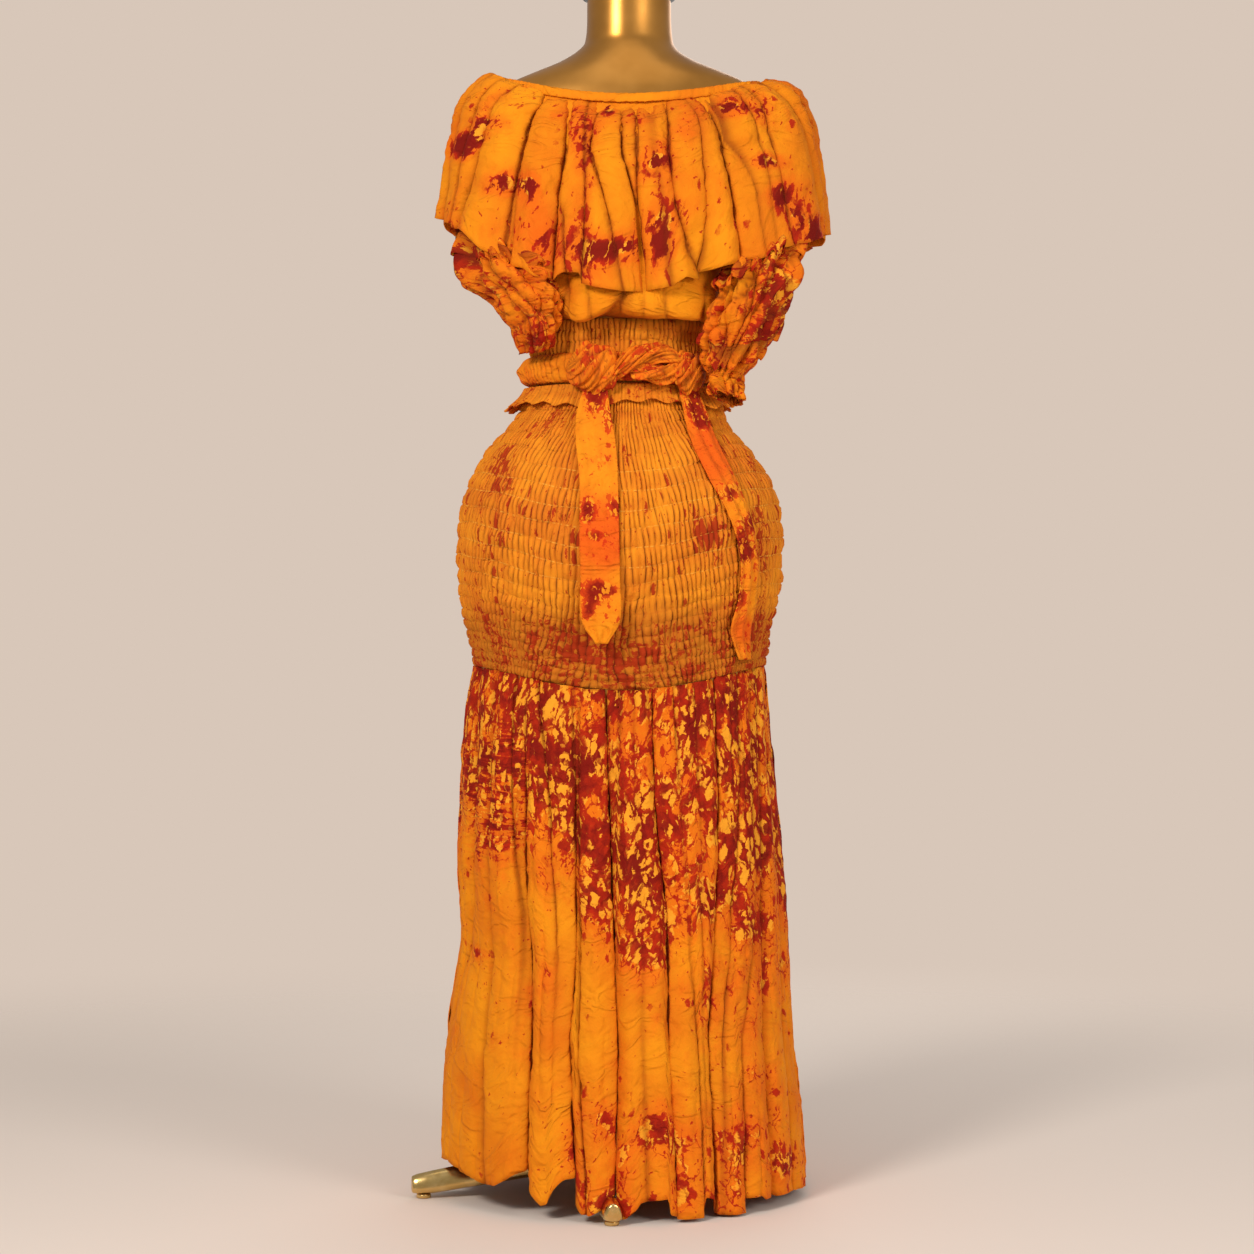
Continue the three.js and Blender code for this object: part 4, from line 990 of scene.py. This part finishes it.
# The shoulder ruffle: one deep flounce gathered on to the neckline, off the shoulders. Its pleats open
# downwards to a narrow turned hem. Rings run from the neckline to the hem, with reaches and heights at the
# left, right, back and front; the pleats are given as the skirt's grooves are, by share of the way down.
RUFFLE = [
    (0, 160, 172, 100, 106, 1374, 1370, 1340, 1318), (0.3, 174, 192, 107, 114, 1390, 1383, 1331, 1309),
    (1, 209, 228, 121, 133, 1361, 1358, 1306, 1282), (2, 226, 247, 138, 158, 1296, 1290, 1232, 1208),
    (3, 240, 257, 154, 170, 1214, 1190, 1108, 1088),
]
RUFFLE_LEVELS = [0, 0.25, 0.5, 0.75, 1]
PLEATS = [
    (187, 186, 185, 184, 183, 3, 4, 5, 6, 8, 1), (196, 197, 196, 195, 194, 3, 5, 6, 7, 9, -1),
    (206, 208, 207, 203, 200, 4, 5, 7, 6, 8, 1), (221, 219, 217.5, 214, 207, 4, 6, 9, 11, 14, -1),
    (231, 235, 233, 231, 229, 5, 10, 11, 9, 9, 1), (236, 236.2, 235.8, 234, 233, 4, 9, 9, 8, 6, -1),
    (242, 247.5, 248.5, 247, 246.4, 6, 11, 12, 12, 15, 1), (245.5, 249, 250.2, 250, 252, 4, 7, 8, 7, 10, -1),
    (253, 255, 256.1, 257, 256.2, 5, 6, 7, 7, 9, 1), (259.7, 260.2, 258.6, 265, 270, 7, 10, 11, 9, 7, -1),
    (267.8, 267.9, 268.4, 273, 275, 7, 10, 11, 13, 15, 1),
    (275, 274.4, 274.1, 274.5, 276.6, 7, 9, 10, 11, 14, -1), (281, 279, 279, 281, 283, 5, 4, 3, 5, 7, 0),
    (287, 285, 284, 285.4, 291.6, 6, 9, 10, 10, 13, -1), (294, 293.8, 293.3, 293.4, 293, 3, 5, 9, 11, 12, 1),
    (301, 299.6, 301.4, 303.8, 306, 9, 12, 13, 13, 14, -1), (305, 303.2, 304.2, 311, 313, 5, 8, 8, 5, 3, 1),
    (318, 314.5, 315, 317, 318, 5, 7, 6, 4, 3, -1), (323, 321, 320.4, 323.2, 326, 4, 6, 8, 8, 5, -1),
    (333, 333.5, 338.6, 340.8, 347, 7, 11, 9, 9, 8, 1), (347, 348, 350, 352, 353, 5, 6, 6, 7, 7, -1),
    (3, 2, 1, 1, 2, 4, 6, 8, 9, 11, 1), (14, 15, 17, 18, 18, 4, 6, 8, 10, 12, -1),
    (26, 26, 25, 27, 30, 5, 8, 10, 11, 14, 1), (36, 38, 40, 41, 41, 5, 7, 9, 10, 11, -1),
    (47, 47, 49, 51, 53, 5, 9, 11, 12, 15, 1), (57, 58, 58, 61, 63, 6, 8, 9, 8, 7, -1),
    (66, 68, 70, 70, 71, 6, 9, 12, 14, 16, 1), (76, 76, 78, 80, 82, 5, 7, 7, 9, 10, -1),
    (85, 87, 88, 89, 89, 6, 10, 12, 14, 16, 1), (94, 95, 95, 98, 100, 5, 7, 8, 7, 7, -1),
    (104, 104, 106, 108, 108, 6, 9, 11, 13, 16, 1), (113, 115, 117, 117, 119, 5, 8, 8, 9, 10, -1),
    (123, 125, 125, 127, 129, 6, 9, 12, 13, 15, 1), (133, 134, 136, 138, 138, 5, 7, 8, 9, 9, -1),
    (143, 145, 147, 147, 149, 5, 8, 10, 12, 14, 1), (154, 155, 155, 158, 160, 4, 6, 8, 8, 9, -1),
    (165, 167, 168, 168, 169, 4, 6, 8, 9, 11, 1), (176, 176, 177, 178, 178, 3, 4, 5, 6, 7, -1),
]
# How far the ruffle's hem drops below its even line, by angle
SCALLOPS = [
    (0, 0), (12, 5), (26, -6), (34, 4), (52, -7), (62, 5), (71, -6), (80, 6), (89, -7), (98, 5), (108, -6),
    (118, 6), (129, -7), (138, 3), (149, -6), (160, 5), (169, -4), (178, 2), (190, 4), (199, 5), (205, 5),
    (209, -2), (214, -3), (223, 5), (228, 3), (231.5, 3), (234, 6), (239, 2), (242.4, 7), (247.4, 4),
    (249.4, -4), (251.5, -10), (255.4, -12), (256.4, 0), (260.3, 2), (266, 4), (272.7, 5), (275.6, 6),
    (283.4, 3), (287, -5), (291.1, 0), (292.9, -2), (293.2, -6), (298, -7), (304.8, -6), (309.8, -2),
    (312.4, -2), (319.7, -4), (332.4, 2), (349, 3), (360, 0),
]


def ruffle_ring(share):
    return outline_at(RUFFLE, 3.0 * share)


def ruffle_reach(height, share):
    return ruffle_ring(share)[:4]


def ruffle_height(angle, share):
    z_left, z_right, z_back, z_front = ruffle_ring(share)[4:]
    c, s = np.cos(angle), np.sin(angle)
    side = z_left + (z_right - z_left) * (c + 1) / 2
    height = side + (np.where(s > 0, z_front, z_back) - side) * s * s
    return height - np.interp(np.degrees(angle) % 360, *zip(*SCALLOPS)) * share**3


def neck_gathers(angle, share, height):
    return 1.0 + (1.2 + 1.3 * np.sin(88 * angle + 2 * np.sin(7 * angle))) * math.exp(-share / 0.12)


# Where the ruffle's dye lies thickest
RUFFLE_STAINS = [
    (-190, 1300, 30, 12, 2.6), (-200, 1284, 16, 12, 2.4), (-166, 1318, 20, 8, 2.0), (-146, 1240, 30, 16, 3.0),
    (-112, 1228, 12, 20, 2.0), (-18, 1334, 9, 18, 2.6), (-52, 1262, 16, 70, 1.5), (38, 1262, 26, 26, 2.3),
    (44, 1176, 28, 46, 2.4), (-58, 1150, 26, 50, 2.2), (-6, 1156, 44, 18, 2.2), (127, 1334, 30, 16, 2.6),
    (176, 1268, 20, 9, 3.0), (188, 1226, 20, 18, 2.4), (214, 1196, 28, 28, 2.2), (-212, 1200, 16, 36, 1.4),
    (110, 1210, 34, 46, 1.0), (166, 1330, 14, 22, 1.6), (-98, 1164, 22, 30, 1.4), (236, 1180, 12, 26, 2.0),
    (-60, 1316, 26, 16, 1.2), (20, 1320, 20, 16, 1.0), (-150, 1180, 30, 30, 0.9), (80, 1300, 16, 40, 0.8),
]


def ruffle_weight(cotton, cloth):
    return -0.92 + (cotton.cloud(cloth, 10, detail=2) - 0.5) * 2.6


RUFFLE_CLOTH = dyed_cotton("dyed_cotton_ruffle", ruffle_weight, 42, 1.0)
RUFFLE_FLAT = (1.8, 0.235)
deeper = [(*pleat[:5], *(1.3 * depth for depth in pleat[5:10]), pleat[10]) for pleat in PLEATS]
surface, hollow = laid_folds(0, 2 * math.pi, 720, 54, ruffle_reach, ruffle_height, deeper, RUFFLE_LEVELS,
                             False, neck_gathers)
surface = crumpled(surface, RUFFLE_FLAT, 3.0, 1.5, 31.0)
surface[:, -1] = surface[:, 0]
hung("shoulder_flounce", "shoulder_ruffle", surface, RUFFLE_FLAT, RUFFLE_CLOTH, "dyed_cotton", ["form_shell"],
     hollow=hollow, stain=stained(surface, RUFFLE_STAINS))

# The neckline casing: the top edge turned over a soft elastic and stitched down, lightly puckered by it
CASING = [(0.3, 0.0), (1.5, 0.8), (2.2, 4.0), (2.2, 8.5), (1.5, 11.2), (0.4, 11.8), (-0.7, 11.2), (-0.9, 5.0),
          (0.3, 0.0)]
angle = round_columns(480)[None, :]
proud, up = np.array(CASING).T[:, :, None]
pucker = 0.5 * np.sin(150 * angle + 3 * np.sin(9 * angle)) + 0.5 * np.sin(67 * angle)
out = proud - 0.3 * up + pucker * np.sin(np.pi * np.clip(up / 12, 0, 1))
surface = oval(ruffle_reach(0, 0), angle, out, ruffle_height(angle, 0) - 2 + up + 0.4 * pucker)
casing = spread("neckline_casing", surface, flat=(0.98, 0.032))
turned_out()
fitted(casing, "neck_casing", RUFFLE_CLOTH)


# The waist frill: the raw top of the hip tube, gathered tight under the belt and standing out below it
angle = round_columns(560)[None, :]
down = np.linspace(1, 0, 13)[:, None]
wander = 2.6 * np.sin(4 * angle) + 1.8 * np.sin(9 * angle + 1)
fold = np.abs(np.sin(56 * angle + wander + 0.8 * np.sin(31 * angle))) ** 0.7
heights = 997 - 24 * down + (2.2 * np.sin(23 * angle) + 3.0 * np.sin(5 * angle + 2)) * down
flare = (2.0 + 6.5 * np.cos(angle) ** 2) * down**1.4 + 6 * np.maximum(0, -np.cos(angle)) ** 8
out = 6.4 + flare + fold * (1.2 + 2.6 * down) + 1.6 * down * np.sin(19 * angle + wander)
# The valleys of the gathers get painted shade, darker up under the belt
hung("waist_frill_cloth", "waist_frill", oval(outline_at(FORM, heights), angle, out, heights), (1.05, 0.03),
     SMOCKED, "smocked_cotton", ["hip_smocking_cloth"], wall=1.0,
     hollow=np.clip(1 - 1.8 * fold, 0, 1) * (0.9 - 0.4 * down))


# The belt: one long sash of the same cotton, dyed almost all over, wound once round the waist and tied at
# the back. A twisted roll lies between two knots, and the two ends hang down over the hip tube.
def sash_cotton():
    """Dyed all over, but for a plain stretch at the left of the band and the hanging ends' own patches. The
    folds of the band and the valleys of the knots are painted dark, as painted shade.
    """
    cotton = Finish("sash_cotton")
    cloth = cotton.cloth()
    side = cotton.axis(cotton.place(), 0)
    height = cotton.axis(cotton.place(), 2)
    plain = (-0.045 - side).above(0, 0.03) * (height - 0.995).above(0, 0.003)
    hanging = (0.985 - height).above(0, 0.01)
    warm = marked(cotton, "warm") + (1 - hanging) * 0.4
    weight = 0.35 + (cotton.cloud(cloth, 9, detail=2) - 0.5) * 2.4 - plain * 0.9 - hanging * 0.75
    haze, red, core, bare = dyed(cotton, cloth, weight, 62)
    # Painted shade: dark in the folds of the band and the valleys of the knots
    deep = marked(cotton, "hollow")
    tone = cotton.cloud(cloth, 20, detail=3)
    warmth = (warm * 1.1 + tone - 0.5).above(0.10, 0.95)
    ground = cotton.mixed(warmth, (0.88, 0.27, 0.007), (0.80, 0.120, 0.005))
    colour = cotton.coated(
        ground, (haze * 0.35, (0.76, 0.075, 0.005)), (bare * 0.8, (0.90, 0.30, 0.012)),
        (red * 0.85, (0.58, 0.026, 0.003)), (red * core * 0.9, (0.24, 0.006, 0.002)),
        (deep * 0.65, (0.15, 0.012, 0.002)))
    return cotton_done(cotton, cloth, colour, 0.0014)


SASH = sash_cotton()
# Across the band, from its lower edge: height, and distance off the form
BAND = [(1000, 7), (1006, 10.2), (1012, 12.0), (1018, 12.8), (1023, 12.4), (1030, 10.0), (1036, 4.7)]
angle = round_columns(560)[None, :]
heights = np.linspace(1000, 1036, 17)[:, None]
share = (heights - 1000) / 36
out = np.interp(heights, *zip(*BAND))
fold = np.abs(np.sin(43 * angle + 1.6 * np.sin(7 * angle) + 1.5 * share)) ** 0.7
rolls = 1.2 * np.sin(share * 14 + 1.2 * np.sin(3 * angle) + 0.8 * np.sin(8 * angle))
out = out + (rolls + 2.6 * (fold - 0.5)) * np.sin(np.pi * share) ** 0.6
out = out + 8 * np.maximum(0, -np.cos(angle)) ** 10 * np.sin(np.pi * share) ** 0.5
heights = heights + 1.6 * np.sin(5 * angle + 1) * np.sin(np.pi * share)
# The valleys between the band's folds get painted shade
hung("belt_wrap", "belt_band", oval(outline_at(FORM, heights), angle, out, heights), (0.84, 0.048),
     SASH, "sash_cotton", ["waist_smocking_cloth"], hollow=np.clip(1 - 2 * fold, 0, 1))

# Knots and strands: place across, height, half depth, half height and lift off the band, left to right
KNOT_LEFT = [
    (-72, 1014, 4, 9, 0), (-60, 1013, 10, 19, 0.5), (-44, 1012, 13, 26, 0.7), (-28, 1012, 13, 22, 0.5),
    (-14, 1014, 10, 17, 0), (-8, 1014, 7, 11, 2),
]
STRAND_HIGH = [
    (-16, 1008, 7, 8, 4), (-4, 1017, 9, 12, 4), (14, 1026, 9, 12, 3), (36, 1031, 9, 10, 3),
    (56, 1028, 9, 10, 3), (72, 1018, 8, 10, 3),
]
STRAND_LOW = [
    (4, 1013, 6, 7, 0), (20, 1010, 8, 9, 1), (36, 1008, 8, 9, 2), (52, 1008, 8, 10, 2), (68, 1011, 7, 10, 1),
]
KNOT_RIGHT = [
    (58, 1012, 7, 12, 2), (68, 1010, 11, 20, 2), (80, 1007, 12, 21, 2), (92, 1008, 10, 16, 1),
    (99, 1010, 6, 8, 0),
]


def knot(name, node, table, twist, seed):
    """A crushed roll of the sash, closed at both ends, on the middle line of the band."""
    reach = outline_at(FORM, 1018.0)
    first, last = table[0][0], table[-1][0]
    angle = round_columns(80)
    lines, hollows = [], []
    for x in np.linspace(first, last, 65):
        z, deep, tall, lift = outline_at(table, x)
        end = min(1, (x - first) / 5, (last - x) / 5)
        end = math.sqrt(max(0.02, 1 - (1 - max(0, end)) ** 2))
        share = x / ((reach[0] if x < 0 else reach[1]) + 15.6)
        y = -(reach[2] + 15.0 + lift) * math.sqrt(1 - share * share) - deep * 0.8
        turn = twist * (x - first) / (last - first)
        both = [crushed(a + turn, (x - first) / 34, seed) for a in angle]
        ridge = np.array([r for r, _ in both])
        lines.append(np.stack([np.full_like(angle, x), y + deep * end * np.cos(angle) * ridge * 1.1,
                               z + tall * end * np.sin(angle) * ridge * 1.1], axis=-1))
        hollows.append([mark for _, mark in both])
    flat = (0.12, 0.08)
    surface = crumpled(np.array(lines), flat, 1.0, 0.35, seed)
    surface[:, -1] = surface[:, 0]
    # The valleys of the crushed roll get painted shade
    piece = spread(name, surface, flat=flat, marks={"hollow": np.array(hollows)})
    capped()
    turned_out()
    fitted(piece, node, SASH)


knot("belt_tie_left", "belt_knot_left", KNOT_LEFT, 2.5, 41.0)
knot("belt_strand_low", "belt_roll", STRAND_LOW, 2.0, 44.0)
knot("belt_strand_high", "belt_roll", STRAND_HIGH, 4.0, 42.0)
knot("belt_tie_right", "belt_knot_right", KNOT_RIGHT, 3.0, 43.0)

# Hanging ends: height, place across, half width and distance off the form
END_LEFT = [
    (989.4, -36, 15, 21.4), (965, -36, 19, 21), (930, -33, 22, 13), (880, -30, 22, 11), (820, -29, 22.5, 11),
    (760, -28, 22.5, 13), (708, -27, 22, 25), (680, -26, 7, 31),
]
END_RIGHT = [
    (992.2, 78, 13, 17), (962, 86, 17, 20), (930, 96, 19, 12), (878, 120, 20, 10), (828, 142, 17, 10),
    (780, 152, 16, 10), (732, 149, 16, 11), (696, 142, 17, 12), (660, 148, 13, 13),
]
# Where the hanging ends are more orange, and where their dye lies thickest
WARM = [(-28, 806, 50, 56, 1.0), (104, 912, 50, 52, 1.0), (146, 694, 24, 24, 0.8)]
END_STAINS = [
    (-38, 974, 12, 14, 1.4), (-20, 946, 12, 20, 1.5), (-42, 842, 12, 14, 1.8), (-12, 842, 12, 14, 1.6),
    (-32, 808, 14, 8, 1.6), (-28, 744, 26, 12, 2.4), (-42, 718, 10, 16, 1.8), (84, 968, 12, 18, 1.8),
    (92, 948, 10, 10, 1.2), (128, 862, 14, 12, 2.2), (-28, 900, 16, 8, 1.0), (150, 826, 12, 16, 2.0),
    (144, 792, 16, 18, 2.2), (138, 740, 12, 26, 1.6), (150, 672, 16, 14, 1.2),
]
for side, table, flat, seed in (("left", END_LEFT, (0.058, 0.32), 51.0),
                                ("right", END_RIGHT, (0.052, 0.36), 52.0)):
    lines = []
    for height in np.linspace(table[-1][0], table[0][0], 121):
        x, half, out = outline_at(table, height)
        reach = outline_at(FORM, height)
        middle = math.acos(x / (reach[1] + out))
        turned = half / math.hypot((reach[2] + out) * math.cos(middle), (reach[1] + out) * math.sin(middle))
        share = np.linspace(-1, 1, 29)
        folds = 1.5 * (1 - share**2) + 1.4 * np.sin(7 * share + height * 0.012) * (1 - share**4)
        lines.append(oval(reach, -middle + share * turned, out + folds, height))
    surface = crumpled(np.array(lines), flat, 1.2, 1.0, seed)
    hung(f"belt_end_{side}_cloth", f"belt_end_{side}", surface, flat, SASH, "sash_cotton", ["belt_wrap"],
         held="hung", closed=False, stain=stained(surface, END_STAINS), warm=stained(surface, WARM))
